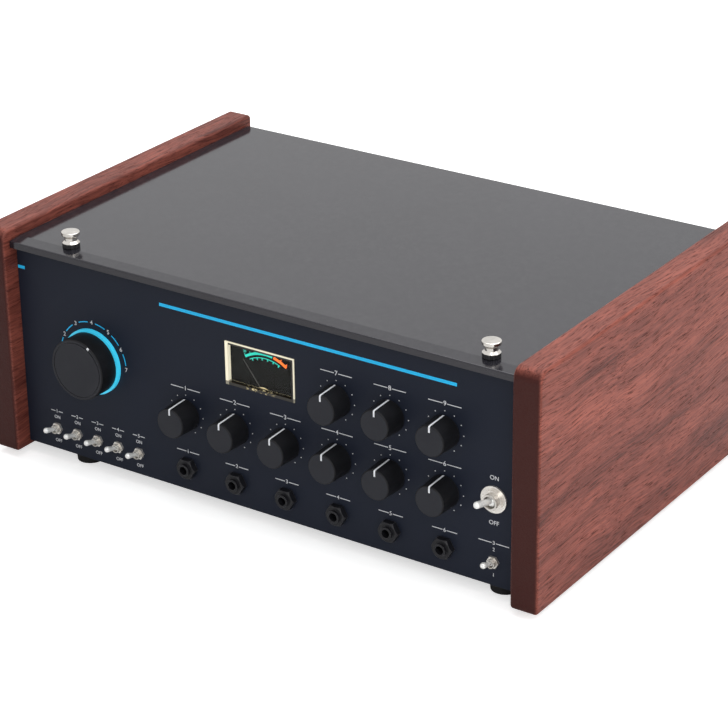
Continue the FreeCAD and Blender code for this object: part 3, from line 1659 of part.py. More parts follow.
def tape_loop():
    """The endless tape: past the heads and the capstan, then in folds through the tank."""
    left = -s.tape_left_x.number
    right = s.tape_right_x.number
    front = s.tape_y.number
    near = s.lane_front.number
    far = s.lane_back.number
    pitch = s.lane_pitch.number
    turn = s.tape_turn_radius.number
    wide = s.lane_turn_radius.number
    points = [FreeCAD.Vector(left, front, 0), FreeCAD.Vector(right, front, 0)]
    lane_count = 2 * int((right - left - 2 * wide) / (2 * pitch))
    for lane in range(lane_count):
        x = right - lane * pitch
        y = far if lane % 2 == 0 else near
        points.append(FreeCAD.Vector(x, y, 0))
        points.append(FreeCAD.Vector(x - pitch, y, 0))
    points.append(FreeCAD.Vector(right - lane_count * pitch, far, 0))
    points.append(FreeCAD.Vector(left, far, 0))
    radii = [turn, turn] + [wide] * (len(points) - 2)
    shape = band(rounded_loop(points, radii), s.tape_thickness.number, s.tape_width.number)
    tape = doc.addObject("Part::Feature", "TapeLoop")
    tape.Shape = shape
    place(tape, 0, 0, tape_bottom())
    publish("tape_loop", tape)


def drive_belt():
    """A flat belt round the motor's pulley and the flywheel."""
    gap = s.moving_gap.number + s.belt_thickness.number / 2
    large = s.flywheel_radius.number + gap
    small = s.pulley_radius.number + gap
    spacing = s.pulley_spacing.number
    lean = math.acos((large - small) / spacing)

    def on_circle(centre_x, radius, angle):
        return FreeCAD.Vector(centre_x + radius * math.cos(angle), radius * math.sin(angle), 0)

    half_turn = math.pi
    large_arc = [on_circle(0, large, angle) for angle in (half_turn - lean, 0, lean - half_turn)]
    small_arc = [on_circle(-spacing, small, angle) for angle in (lean - half_turn, half_turn, half_turn - lean)]
    edges = [
        Part.Arc(*large_arc).toShape(),
        Part.LineSegment(large_arc[2], small_arc[0]).toShape(),
        Part.Arc(*small_arc).toShape(),
        Part.LineSegment(small_arc[2], large_arc[0]).toShape(),
    ]
    belt = doc.addObject("Part::Feature", "DriveBelt")
    belt.Shape = band(Part.Wire(edges), s.belt_thickness.number, s.belt_width.number)
    belt_z = s.drive_plane + (s.pulley_depth - s.belt_width) / 2
    place(belt, s.capstan_x, capstan_y(), belt_z)
    publish("drive_belt", belt)


def tank_left():
    return -s.tape_left_x - s.tank_margin


def tank_width():
    return s.tape_left_x + s.tape_right_x + 2 * s.tank_margin


def tape_tank():
    """A low wall round the folded tape, with a slot where the tape comes in and one where it leaves."""
    wall = s.tank_wall
    depth = s.tank_back - s.tank_front
    outer_corner = (tank_left(), s.tank_front, s.deck_top)
    outer = block("TankOuter", outer_corner, (tank_width(), depth, s.tank_height))
    inner_corner = (tank_left() + wall, s.tank_front + wall, s.deck_top)
    inner_size = (tank_width() - 2 * wall, depth - 2 * wall, s.tank_height)
    tools = [block("TankInner", inner_corner, inner_size)]
    for x in (-s.tape_left_x, s.tape_right_x):
        slot_corner = (x - s.tank_slot_width / 2, s.tank_front, s.deck_top)
        tools.append(block("TankSlot", slot_corner, (s.tank_slot_width, wall, s.tank_height)))
    publish("tape_tank", cut("TapeTank", outer, *tools))


def tank_cover():
    depth = s.tank_back - s.tank_front
    corner = (tank_left(), s.tank_front, s.deck_top + s.tank_height)
    publish("tank_cover", block("TankCover", corner, (tank_width(), depth, s.cover_thickness)))


# Electronics


def circuit_boards():
    """The main board with its parts, and the upright board that the potentiometers solder to."""
    top = s.sheet_thickness + s.board_lift
    left = s.board_x - s.board_width / 2
    main = block("MainBoard", (left, s.board_y, top), (s.board_width, s.board_depth, s.board_thickness))
    solids = [main]
    surface = top + s.board_thickness
    for row in (1, 2, 3):
        for place_in_row in (1, 2, 3, 4):
            x = left + place_in_row * s.board_width / 5
            y = s.board_y + row * s.board_depth / 4
            corner = (x, y, surface)
            solids.append(block("Chip", corner, (s.chip_width, s.chip_depth, s.chip_height)))
    for place_in_row in (1, 2, 3, 4, 5):
        x = left + place_in_row * s.board_width / 6
        start = (x, s.board_y + s.board_depth / 8, surface)
        solids.append(rod("Capacitor", "z", start, s.capacitor_radius, s.capacitor_height))
    y = s.panel_thickness + s.pot_depth
    overlap = s.pot_radius + s.seat_gap
    low_corner = (column(0) - overlap, y, s.knob_row - s.control_board_height / 2)
    low_size = (5 * s.column_pitch + 2 * overlap, s.board_thickness, s.control_board_height)
    low = block("LowerControlBoard", low_corner, low_size)
    high_corner = (column(3) - overlap, y, s.knob_row)
    high_size = (
        2 * s.column_pitch + 2 * overlap,
        s.board_thickness,
        s.tone_row - s.knob_row + s.pot_radius,
    )
    high = block("UpperControlBoard", high_corner, high_size)
    solids.append(join("ControlBoard", low, high))
    publish("circuit_boards", group("CircuitBoards", solids))


def transformer():
    """The iron core on the case's floor and the coil through it."""
    floor = s.sheet_thickness
    corner = (-s.core_x - s.core_width / 2, s.core_y - s.core_depth / 2, floor)
    core = block("CoreStack", corner, (s.core_width, s.core_depth, s.core_height))
    coil_z = floor + (s.core_height - s.coil_height) / 2
    coil_corner = (-s.core_x - s.coil_width / 2, s.core_y - s.coil_depth / 2, coil_z)
    coil = block("CoilWinding", coil_corner, (s.coil_width, s.coil_depth, s.coil_height))
    window = block("CoreWindow", coil_corner, (s.coil_width, s.coil_depth, s.coil_height))
    publish("transformer", group("Transformer", [cut("Core", core, window), coil]))


def mains_inlet():
    """A three-pin inlet: flange outside, body through the rear panel and blades in the recess."""
    x = s.inlet_x
    z = s.inlet_z
    mouth = s.case_depth + s.inlet_flange_depth
    flange_sides = (s.inlet_flange_width, s.inlet_flange_height)
    flange = centred("InletFlange", x, z, *flange_sides, s.case_depth, s.inlet_flange_depth)
    body_start = s.case_depth - s.inlet_body_depth
    body_sides = (s.inlet_width, s.inlet_height)
    body = centred("InletBody", x, z, *body_sides, body_start, s.inlet_body_depth)
    recess_start = mouth - s.inlet_recess_depth
    recess_sides = (s.inlet_recess_width, s.inlet_recess_height)
    recess = centred("InletRecess", x, z, *recess_sides, recess_start, s.inlet_recess_depth)
    housing = cut("InletHousing", join("InletShell", flange, body), recess)
    blade_sides = (s.inlet_pin_thickness, s.inlet_pin_width)
    blades = []
    for step, lift in ((-1, -1), (0, 1), (1, -1)):
        blade_x = x + step * s.inlet_pin_pitch
        blade_z = z + lift * s.inlet_pin_offset
        run = (recess_start, s.inlet_pin_length)
        blades.append(centred("InletBlade", blade_x, blade_z, *blade_sides, *run))
    publish("mains_inlet", join("MainsInlet", housing, *blades))


def build():
    fill_sheet()
    chassis_tray()
    front_panel()
    rear_panel()
    cheek(-1, "cheek_left")
    cheek(1, "cheek_right")
    feet()
    case_screws()
    lid()
    thumbscrew(-1, "thumbscrew_left")
    thumbscrew(1, "thumbscrew_right")
    thumbscrew_sockets()
    lid_hinge_leaves()
    case_hinge_leaves()
    knobs()
    mode_knob()
    mode_ring()
    mode_switch()
    potentiometers()
    panel_nuts()
    toggles()
    toggle_bodies()
    jack_bodies()
    jack_nuts()
    meter_case()
    meter_bezel()
    meter_window()
    meter_dial()
    meter_needle()
    deck_plate()
    standoffs()
    tape_heads()
    deck_guides()
    capstan_flywheel()
    motor_pulley()
    drive_motor()
    drive_bracket()
    pinch_arm()
    pinch_roller()
    tape_loop()
    drive_belt()
    tape_tank()
    tank_cover()
    circuit_boards()
    transformer()
    mains_inlet()
    doc.recompute()


def check():
    """Stops before anything is written if a piece failed or is not sound."""
    for item in doc.Objects:
        if "Invalid" in item.State or "Error" in item.State:
            raise RuntimeError(f"{item.Name} failed: {item.State}")
    for name, piece in nodes.items():
        if piece.Shape.isNull() or not piece.Shape.isValid():
            raise RuntimeError(f"{name} is not a sound solid")


def write_parts():
    os.makedirs("parts", exist_ok=True)
    for name, piece in nodes.items():
        piece.Shape.exportStep(os.path.join("parts", f"{name}.step"))
    print(len(nodes), "sub-parts written")


build()
check()
write_parts()
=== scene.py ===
import math

import bpy
from bpy.props import FloatProperty, FloatVectorProperty, IntProperty, PointerProperty
from mathutils import Matrix, Vector


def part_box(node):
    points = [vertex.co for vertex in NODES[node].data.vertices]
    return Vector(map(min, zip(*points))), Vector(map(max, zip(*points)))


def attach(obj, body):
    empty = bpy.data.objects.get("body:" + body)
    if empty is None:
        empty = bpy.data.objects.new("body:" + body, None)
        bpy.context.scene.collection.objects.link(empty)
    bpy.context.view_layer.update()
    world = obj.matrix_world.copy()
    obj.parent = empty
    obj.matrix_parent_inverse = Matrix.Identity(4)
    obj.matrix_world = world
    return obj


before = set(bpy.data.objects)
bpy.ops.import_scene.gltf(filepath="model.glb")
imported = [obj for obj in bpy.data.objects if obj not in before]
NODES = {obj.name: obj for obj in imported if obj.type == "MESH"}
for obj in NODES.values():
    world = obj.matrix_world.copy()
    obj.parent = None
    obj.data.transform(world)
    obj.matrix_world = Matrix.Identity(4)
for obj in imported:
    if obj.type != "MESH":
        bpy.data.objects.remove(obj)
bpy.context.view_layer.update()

bl_info = {
    "name": "Tape echo unit",
    "version": (1, 0, 0),
    "blender": (4, 5, 0),
    "location": "View3D > Sidebar > Tape Echo",
    "description": "Finishes, printed marks and small fittings for a table-top tape echo unit",
    "category": "Object",
}

MM = 0.001
PANEL_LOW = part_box("front_panel")[0]
FACE = PANEL_LOW.y
BASE = PANEL_LOW.z
SMALL_KNOBS = sorted(n for n in NODES if n.startswith("knob_"))
LEVERS = sorted(n for n in NODES if n.startswith("toggle_") and n != "toggle_bodies")
SMALL_LEVERS = [n for n in LEVERS if n != "toggle_power"]
LEVER_ORDER = ("toggle_direct", "toggle_motor", "toggle_sound", "toggle_echo", "toggle_chorus")
CONTROL_ORDER = (
    "knob_input_volume",
    "knob_chorus_rate",
    "knob_chorus_depth",
    "knob_reverb_volume",
    "knob_speed",
    "knob_echo_volume",
    "knob_bass",
    "knob_treble",
    "knob_feedback",
)

# The curve between a screen's values and light

TOE_END = 0.04045
TOE_SLOPE = 12.92
CURVE_OFFSET = 0.055
CURVE_POWER = 2.4

# Printed marks: places over the panel's foot and widths, in millimetres

STRIPE_SPANS = ((-214.4, -208.0), (-83.5, 164.7))
KNOB_LABEL_LIFT = 20.2
KNOB_LABEL_WIDTH = 26
JACK_COUNT = 6
JACK_LABEL_LEVEL = 31
JACK_LABEL_WIDTH = 20
ROW_LABEL_LEVEL = 31.3
ROW_LABEL_WIDTH = 11
ROW_WORDS = (("ON", 26.4), ("OFF", 7.0))
LEVEL_LABEL_LEVEL = 32.4
LEVEL_LABEL_WIDTH = 24
LEVEL_WORDS = (("2", 27.4), ("1", 7.9))
POWER_WORDS = (("ON", 81.2), ("OFF", 47.6))
RULE_GAP = 0.8
RULE_HALF = 0.3
MODE_FIGURE = 3.4
MODE_STEP = math.radians(30)
MODE_ARC_GAP = math.radians(6.5)

# Shares of a figure's height, and of the ink's depth

FONT_SIZE = 1.38
FONT_WEIGHT = 0.012
FIGURE_WIDTH = 0.55
INK_EDGE = 0.3

# Painted pointers on the knobs, in millimetres

KNOB_FACE_RADIUS = 11.3
MODE_MARK_TURN = math.radians(31)
MODE_MARK_WIDTH = 1.9
MODE_MARK_INNER = 21.6
MODE_MARK_OUTER = 23.3
KNOB_FOOT = 1.5
FACE_SKIN = 0.3

# Bushes of the toggles: radius, level over the panel's foot and places of the threads

PANEL_THICKNESS = 3.0
ROW_BUSH = (3.0, 17.5, (2.3, 2.9, 3.5, 4.1, 4.7))
OTHER_BUSHES = {
    "toggle_level": (3.0, 18.3, (2.3, 2.9, 3.5, 4.1, 4.7)),
    "toggle_power": (5.5, 65.6, (4.2, 4.9, 5.6, 6.2)),
}

# Meter scale: bands as radius, width, first and last degree, ticks as degrees

UPPER_BAND = (31.2, 1.9, -34, 11)
LOWER_BAND = (28.2, 0.6, -29, 26)
RED_BAND = (31.2, 2.0, 13, 35)
UPPER_TICKS = (-33, -24, -16, -9, -2, 4, 10)
LOWER_TICKS = (-24, -15, -6, 4, 14, 24)
RED_TICKS = (15, 24, 33)
SCALE_FIGURES = (("20", -31), ("10", -20), ("5", -7), ("0", 7))
PIVOT_LIFT = 2.2
SCALE_DEPTH = 0.08
METER_LEVEL = 111.2

# Small fittings: turned profiles as (along, radius), and places, in millimetres

CAP_PROFILE = ((0.0, 0.05), (0.0, 2.6), (-0.5, 2.6), (-0.8, 1.9), (-0.8, 0.05))
CAP_LEVELS = (30, 130)
CAP_INSET = 6
CAP_STAND = 2.2
RIVET_PROFILE = ((0.0, 0.02), (0.0, 1.9), (-0.35, 1.75), (-0.75, 1.1), (-0.9, 0.02))
RIVET_STEP = 13
RIVET_LIFT = 7
HINGE_PLACE = 130
LEAF_THICKNESS = 1.2
HEAD_SCREW_PROFILE = ((0.0, 0.02), (0.0, 1.8), (0.5, 1.7), (0.9, 1.2), (1.0, 0.02))
COVER_SCREW_PROFILE = (
    (0.0, 0.02), (0.0, 3.6), (1.4, 3.6), (2.0, 3.0), (2.0, 0.8), (1.4, 0.6), (1.4, 0.02)
)
COVER_SCREW_INSETS = (10, 9)
HEAD_COUNT = 5
HEAD_HALF = 6
SOFT_EDGE = 0.3
CHIP_ROWS = (177.5, 205.0, 232.5)
CHIP_LEFTS = (-45, 13, 71, 129)
CHIP_WIDTH = 7.0
LEG_COUNT = 7
LEG_PITCH = 2
LEG_LEVEL = 11.1
LEG_SIZE = (0.5, 0.5, 2.2)
LEG_EDGE = 0.08
BOARD_TOP = 11.2
CORE_TOP = 53
BLADES = ((-7, -2), (0, 2), (7, -2))
BLADE_HALF = (1.06, 2.06)
BLADE_SPAN = (18.8, 5.4)

# Modelling and finishes

SHARP_ANGLE = math.radians(30)
ARC_STEP = math.radians(3)
MERGE_DISTANCE = 1e-6
DUST_COLOUR = (0.5, 0.48, 0.45)
LID_DUST_COLOUR = (0.5, 0.5, 0.5)
WHITE = (1, 1, 1, 1)

# The photograph's viewpoint: millimetres from the panel's middle, face and foot, and turns in radians

CAMERA_PLACE = (973.15, -1293.69, 860.46)
CAMERA_YAW = 0.598467
CAMERA_PITCH = 0.431934
CAMERA_ROLL = -0.012451
CAMERA_LENS = 126.909
CAMERA_FILM = 36


def screen(red, green, blue):
    """Turns a colour read on a screen, 0 to 255, into the linear colour that materials use."""
    parts = []
    for value in (red, green, blue):
        share = value / 255
        if share <= TOE_END:
            parts.append(share / TOE_SLOPE)
        else:
            parts.append(((share + CURVE_OFFSET) / (1 + CURVE_OFFSET)) ** CURVE_POWER)
    return tuple(parts)


def colour_property(name, description, red, green, blue):
    return FloatVectorProperty(
        name=name,
        description=description,
        subtype="COLOR",
        size=3,
        min=0,
        max=1,
        default=screen(red, green, blue),
    )


def length_property(name, description, value):
    return FloatProperty(
        name=name, description=description, unit="LENGTH", min=0, default=value * MM, precision=5
    )


class EchoColours(bpy.types.PropertyGroup):
    """Colours of the unit's finishes and printed marks."""

    panel: colour_property("Panel", "Matte paint of the front panel", 29, 34, 47)
    case: colour_property("Case", "Satin paint of the tray and the rear panel", 34, 34, 37)
    lid: colour_property("Lid", "Gloss paint of the lid", 33, 32, 38)
    wood_pale: colour_property("Pale wood", "Early wood of the cheeks", 158, 86, 72)
    wood_dark: colour_property("Dark wood", "Late wood and pores of the cheeks", 66, 27, 22)
    wood_end: colour_property("End grain", "Darker end grain at the cheeks' fronts and backs", 58, 17, 11)
    knob: colour_property("Knobs", "Moulded black of the knobs", 20, 20, 22)
    # Knob faces: colour of the front faces, painted lighter than the moulding as painted light on the face
    # that looks forward.
    knob_face: colour_property("Knob faces", "Satin faces of the knobs", 40, 41, 47)
    stripe: colour_property("Blue print", "Blue stripe and dial arcs", 40, 188, 244)
    ring: colour_property("Ring", "Blue ring behind the mode dial", 66, 214, 255)
    print_white: colour_property("White print", "White marks and figures", 226, 228, 232)
    metal: colour_property("Bright metal", "Plated levers, nuts and thumbscrews", 214, 210, 204)
    steel: colour_property("Steel", "Turned and stamped steel", 150, 150, 152)
    aluminium: colour_property("Aluminium", "Brushed deck and brackets", 176, 177, 180)
    brass: colour_property("Brass", "Turned brass", 190, 158, 92)
    rubber: colour_property("Rubber", "Feet, belt and roller", 30, 30, 31)
    # The bezel colour is the painted highlight on the meter frame; the warm colour after it is a painted
    # reflection at the frame's foot and on its cover.
    bezel: colour_property("Bezel", "Lit cream frame of the meter", 238, 230, 204)
    gilt: colour_property("Gilt", "Warm glints at the meter's foot and its cover", 240, 222, 170)
    dial: colour_property("Dial", "Dark card of the meter", 12, 9, 5)
    dial_teal: colour_property("Teal scale", "Lit teal scale of the meter", 40, 200, 180)
    dial_red: colour_property("Red scale", "Lit end of the meter's scale", 255, 118, 40)
    tape: colour_property("Tape", "Brown oxide of the tape", 72, 48, 38)
    laminate: colour_property("Laminate", "Green boards", 28, 92, 52)
    copper: colour_property("Winding", "Varnished winding of the transformer", 150, 84, 44)
    floor: colour_property("Floor", "Pale floor and backdrop", 244, 244, 244)


class EchoSizes(bpy.types.PropertyGroup):
    """Sizes of printed marks and small fittings."""

    print_depth: length_property("Print depth", "Thickness of the printed ink", 0.06)
    dot_radius: length_property("Dot radius", "Radius of a scale dot", 0.42)
    dot_circle: length_property("Dot circle", "Radius on which a knob's dots lie", 14.9)
    dot_count: IntProperty(name="Dots", description="Dots round each knob", default=11, min=2)
    dot_span: FloatProperty(
        name="Dot span",
        description="Angle from a knob's first dot to its last",
        subtype="ANGLE",
        default=math.radians(300),
    )
    pointer_width: length_property("Pointer width", "Width of a knob's white line", 1.3)
    pointer_reach: length_property("Pointer reach", "How far the line runs onto the face", 4.6)
    pointer_depth: length_property("Pointer depth", "Thickness of the line's paint", 0.12)
    stripe_height: length_property("Stripe height", "Height of the blue stripe", 2.5)
    stripe_level: length_property("Stripe level", "Height of the stripe over the panel's foot", 141.9)
    dial_circle: length_property("Dial circle", "Radius of the mode dial's figures", 30.4)
    dial_line: length_property("Dial line", "Width of the mode dial's arcs", 0.85)
    mode_count: IntProperty(name="Modes", description="Positions of the mode dial", default=7, min=2)
    figure_height: length_property("Figure height", "Height of the small printed figures", 3.6)
    thread_depth: length_property("Thread depth", "Radius of one thread ridge on a bush", 0.22)


class EchoLights(bpy.types.PropertyGroup):
    """Strengths of the studio lights."""

    top: FloatProperty(name="Top", description="Large soft light overhead", unit="POWER", default=24)
    side: FloatProperty(name="Side", description="Soft light at the right", unit="POWER", default=10)
    front: FloatProperty(name="Front", description="Soft light in front", unit="POWER", default=4)
    sky: FloatProperty(name="Sky", description="Even light from all round", default=0.3, min=0)


def settings():
    """The colours, sizes and lights that the sidebar shows."""
    scene = bpy.context.scene
    return scene.echo_colours, scene.echo_sizes, scene.echo_lights


# Places


def spot(across, back, up):
    """A place in millimetres from the panel's middle, its face and its foot."""
    return Vector((across * MM, FACE + back * MM, BASE + up * MM))


def middle(name):
    low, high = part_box(name)
    return (low + high) / 2


def clock(centre, radius, turn, back=0.0):
    """A place round a centre on the panel, with turn counted clockwise from the top."""
    step = Vector((math.sin(turn), 0, math.cos(turn))) * radius
    return Vector((centre.x, FACE + back, centre.z)) + step


# Modelling helpers


def deselect():
    bpy.ops.object.select_all(action="DESELECT")


def select_only(*pieces):
    deselect()
    for piece in pieces:
        piece.select_set(True)
    bpy.context.view_layer.objects.active = pieces[0]


def settle(piece):
    """Moves a piece's place into its mesh, so that its object sits at the origin."""
    select_only(piece)
    bpy.ops.object.transform_apply(location=True, rotation=True, scale=True)
    return piece


def repeated(model, places):
    """Models a piece at the first place and copies it, with its mesh, to the others."""
    first = model(places[0])
    pieces = [first]
    for place in places[1:]:
        twin = first.copy()
        twin.data = first.data.copy()
        bpy.context.collection.objects.link(twin)
        twin.data.transform(Matrix.Translation(place - places[0]))
        pieces.append(twin)
    return pieces


def edit(piece, *steps):
    """Runs steps on all of a piece's faces in edit mode."""
    select_only(piece)
    bpy.ops.object.mode_set(mode="EDIT")
    bpy.ops.mesh.select_all(action="SELECT")
    for step in steps:
        step()
    bpy.ops.object.mode_set(mode="OBJECT")
    return piece


def tidy_mesh():
    bpy.ops.mesh.select_all(action="SELECT")
    bpy.ops.mesh.remove_doubles(threshold=MERGE_DISTANCE)
    bpy.ops.mesh.normals_make_consistent(inside=False)


def round_corners(piece, width, segments=2):
    bevel = piece.modifiers.new("Rounded edges", "BEVEL")
    bevel.width = width
    bevel.segments = segments
    bevel.limit_method = "ANGLE"
    bevel.angle_limit = SHARP_ANGLE
    select_only(piece)
    bpy.ops.object.modifier_apply(modifier=bevel.name)
    return piece


def smooth(piece, angle=40):
    select_only(piece)
    bpy.ops.object.shade_smooth_by_angle(angle=math.radians(angle))
    return piece


def plate(low, high, bevel):
    """A block between two corners, with softened edges."""
    bpy.ops.mesh.primitive_cube_add(size=1, location=(low + high) / 2)
    piece = bpy.context.object
    piece.scale = high - low
    return round_corners(settle(piece), bevel)


def disc(centre, radius, depth, vertices):
    """A disc that stands out of the panel, with a softened rim."""
    place = centre - Vector((0, depth / 2, 0))
    bpy.ops.mesh.primitive_cylinder_add(
        vertices=vertices, radius=radius, depth=depth, location=place, rotation=(math.pi / 2, 0, 0)
    )
    return round_corners(settle(bpy.context.object), min(radius, depth) / 4, 1)


def arc(centre, radius, width, depth, start, finish, back=0.0):
    """A band round a centre on the panel, between two clockwise angles."""
    low = clock(centre, radius - width / 2, start, back)
    bpy.ops.mesh.primitive_plane_add(size=1, location=(0, 0, 0))
    piece = bpy.context.object
    piece.scale = (width, depth, 1)
    settle(piece)
    outward = Vector((math.sin(start), 0, math.cos(start)))
    turn = Matrix((outward, Vector((0, 1, 0)), outward.cross(Vector((0, 1, 0))))).transposed()
    across = outward * width / 2 - Vector((0, depth / 2, 0))
    piece.data.transform(Matrix.Translation(low + across) @ turn.to_4x4())
    steps = max(3, int(abs(finish - start) / ARC_STEP))
    centre_point = (centre.x, FACE + back, centre.z)

    def sweep():
        bpy.ops.mesh.spin(
            steps=steps, angle=-(finish - start), center=centre_point, axis=(0, 1, 0)
        )

    return edit(piece, sweep, tidy_mesh)


def figure(text, centre, height, depth):
    """A printed figure or word, centred on a place in front of the panel."""
    bpy.ops.object.text_add(location=(0, 0, 0))
    piece = bpy.context.object
    piece.data.body = text
    piece.data.size = height * FONT_SIZE
    piece.data.align_x = "CENTER"
    piece.data.align_y = "CENTER"
    piece.data.extrude = depth / 2
    piece.data.offset = height * FONT_WEIGHT
    select_only(piece)
    bpy.ops.object.convert(target="MESH")
    piece = bpy.context.object
    turn = Matrix.Rotation(math.pi / 2, 4, "X")
    piece.data.transform(Matrix.Translation(centre - Vector((0, depth / 2, 0))) @ turn)
    return piece


def lathe(centre, profile, axis, steps):
    """Turns a profile of (along, radius) in millimetres; along counts towards the front or upwards."""
    bpy.ops.mesh.primitive_circle_add(vertices=len(profile), radius=1, fill_type="NOTHING")
    piece = bpy.context.object
    for vertex, (along, radius) in zip(piece.data.vertices, profile):
        place = (radius, -along, 0) if axis == "Y" else (radius, 0, along)
        vertex.co = Vector(place) * MM
    line = (0, 1, 0) if axis == "Y" else (0, 0, 1)

    def sweep():
        bpy.ops.mesh.spin(steps=steps, angle=2 * math.pi, center=(0, 0, 0), axis=line)

    edit(piece, sweep, tidy_mesh)
    piece.data.transform(Matrix.Translation(centre))
    return smooth(piece)


def finished(pieces, name, material, body):
    """Joins pieces under a name, gives them their finish and lets them ride on their body."""
    select_only(*pieces)
    if len(pieces) > 1:
        bpy.ops.object.join()
    piece = bpy.context.object
    piece.name = name
    piece.data.name = name
    piece.data.materials.clear()
    piece.data.materials.append(material)
    settle(piece)
    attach(piece, body)
    return piece


def dress(material, *names):
    """Gives CAD nodes their material."""
    for name in names:
        mesh = NODES[name].data
        mesh.materials.clear()
        mesh.materials.append(material)


# Shader helpers


def fill(tree, made, **inputs):
    """Sets or links a node's inputs: i0, i1 and so on by number, the rest by name."""
    for key, value in inputs.items():
        socket = made.inputs[int(key[1:]) if key[1:].isdigit() else key.replace("_", " ")]
        if isinstance(value, bpy.types.NodeSocket):
            tree.links.new(value, socket)
        else:
            socket.default_value = value
    return made


def node(tree, kind, options=None, **inputs):
    """Adds a shader node, sets its options and fills its inputs."""
    made = tree.nodes.new(f"ShaderNode{kind}")
    for key, value in (options or {}).items():
        setattr(made, key, value)
    return fill(tree, made, **inputs)


def maths(tree, operation, *values, clamp=False):
    inputs = {f"i{index}": value for index, value in enumerate(values)}
    return node(tree, "Math", {"operation": operation, "use_clamp": clamp}, **inputs).outputs[0]


def ramp(tree, value, low, high):
    """Maps a value between two limits to 0 and 1."""
    made = node(tree, "MapRange", {"clamp": True}, Value=value, From_Min=low, From_Max=high)
    return made.outputs["Result"]


def opaque(colour):
    """Gives a colour its alpha; a link passes as it is."""
    return colour if isinstance(colour, bpy.types.NodeSocket) else (*colour[:3], 1)


def blend(tree, share, first, second):
    """Mixes two colours, which are the mix node's inputs 6 and 7."""
    colours = {"i6": opaque(first), "i7": opaque(second)}
    return node(tree, "Mix", {"data_type": "RGBA"}, i0=share, **colours).outputs[2]


def facing(tree, axis):
    """How far the surface faces along an axis, from -1 to 1."""
    normal = node(tree, "NewGeometry").outputs["Normal"]
    return node(tree, "SeparateXYZ", i0=normal).outputs[axis]


def new_group(name, inputs, outputs):
    """A shader node group with named sockets."""
    tree = bpy.data.node_groups.new(name, "ShaderNodeTree")
    kinds = {"float": "NodeSocketFloat", "vector": "NodeSocketVector", "colour": "NodeSocketColor"}
    for title, kind, value in inputs:
        socket = tree.interface.new_socket(title, in_out="INPUT", socket_type=kinds[kind])
        if value is not None:
            socket.default_value = value
    for title, kind in outputs:
        tree.interface.new_socket(title, in_out="OUTPUT", socket_type=kinds[kind])
    return tree, tree.nodes.new("NodeGroupInput").outputs, tree.nodes.new("NodeGroupOutput").inputs


def wear_group():
    """Fine grain, slow smudges and a mask along sharp edges."""
    inputs = (
        ("Vector", "vector", None),
        ("Grain Scale", "float", 1500.0),
        ("Smudge Scale", "float", 18.0),
        ("Edge Radius", "float", 0.0006),
    )
    outputs = (("Grain", "float"), ("Smudge", "float"), ("Edge", "float"))
    tree, given, result = new_group("Surface wear", inputs, outputs)
    grain = node(tree, "TexNoise", Vector=given["Vector"], Scale=given["Grain Scale"], Detail=2.0)
    tree.links.new(grain.outputs["Fac"], result["Grain"])
    cloud = node(
        tree, "TexNoise", Vector=given["Vector"], Scale=given["Smudge Scale"], Detail=5.0, Roughness=0.6
    )
    soft = ramp(tree, cloud.outputs["Fac"], 0.35, 0.68)
    tree.links.new(soft, result["Smudge"])
    rounded = node(tree, "Bevel", {"samples": 4}, Radius=given["Edge Radius"])
    plain = node(tree, "NewGeometry")
    dot = node(
        tree,
        "VectorMath",
        {"operation": "DOT_PRODUCT"},
        i0=rounded.outputs["Normal"],
        i1=plain.outputs["Normal"],
    )
    sharp = maths(tree, "SUBTRACT", 1.0, dot.outputs["Value"])
    edge = ramp(tree, sharp, 0.02, 0.22)
    broken = maths(tree, "MULTIPLY", edge, ramp(tree, grain.outputs["Fac"], 0.3, 0.6), clamp=True)
    tree.links.new(broken, result["Edge"])
    return tree


def wood_group():
    """Long grain with pores, growth figure and darker ends."""
    inputs = (
        ("Vector", "vector", None),
        ("Pale", "colour", None),
        ("Dark", "colour", None),
        ("End", "colour", None),
    )
    outputs = (("Colour", "colour"), ("Pore", "float"), ("Figure", "float"))
    tree, given, result = new_group("Wood grain", inputs, outputs)
    warp = node(tree, "TexNoise", Vector=given["Vector"], Scale=5.0, Detail=2.0)
    shifted = node(
        tree,
        "VectorMath",
        {"operation": "MULTIPLY_ADD"},
        i0=warp.outputs["Color"],
        i1=(0.03, 0.0, 0.03),
        i2=given["Vector"],
    )

    def streaks(scale, stretch, detail):
        squeezed = node(
            tree,
            "VectorMath",
            {"operation": "MULTIPLY"},
            i0=shifted.outputs["Vector"],
            i1=(scale, scale * stretch, scale),
        )
        noise = node(
            tree, "TexNoise", Vector=squeezed.outputs["Vector"], Scale=1.0, Detail=detail, Roughness=0.65
        )
        return noise.outputs["Fac"]

    broad = ramp(tree, streaks(38.0, 0.12, 4.0), 0.32, 0.68)
    fine = ramp(tree, streaks(620.0, 0.03, 3.0), 0.38, 0.62)
    pores = ramp(tree, streaks(1300.0, 0.05, 2.0), 0.55, 0.64)
    tone = maths(tree, "MULTIPLY_ADD", broad, 0.6, maths(tree, "MULTIPLY", fine, 0.4))
    body = blend(tree, tone, given["Dark"], given["Pale"])
    pored = blend(tree, maths(tree, "MULTIPLY", pores, 0.8), body, given["Dark"])
    ends = ramp(tree, maths(tree, "ABSOLUTE", facing(tree, "Y")), 0.55, 0.95)
    speckle = ramp(tree, streaks(700.0, 1.0, 2.0), 0.35, 0.65)
    grained_end = blend(tree, maths(tree, "MULTIPLY", speckle, 0.4), given["End"], given["Dark"])
    tree.links.new(blend(tree, ends, pored, grained_end), result["Colour"])
    tree.links.new(pores, result["Pore"])
    tree.links.new(fine, result["Figure"])
    return tree


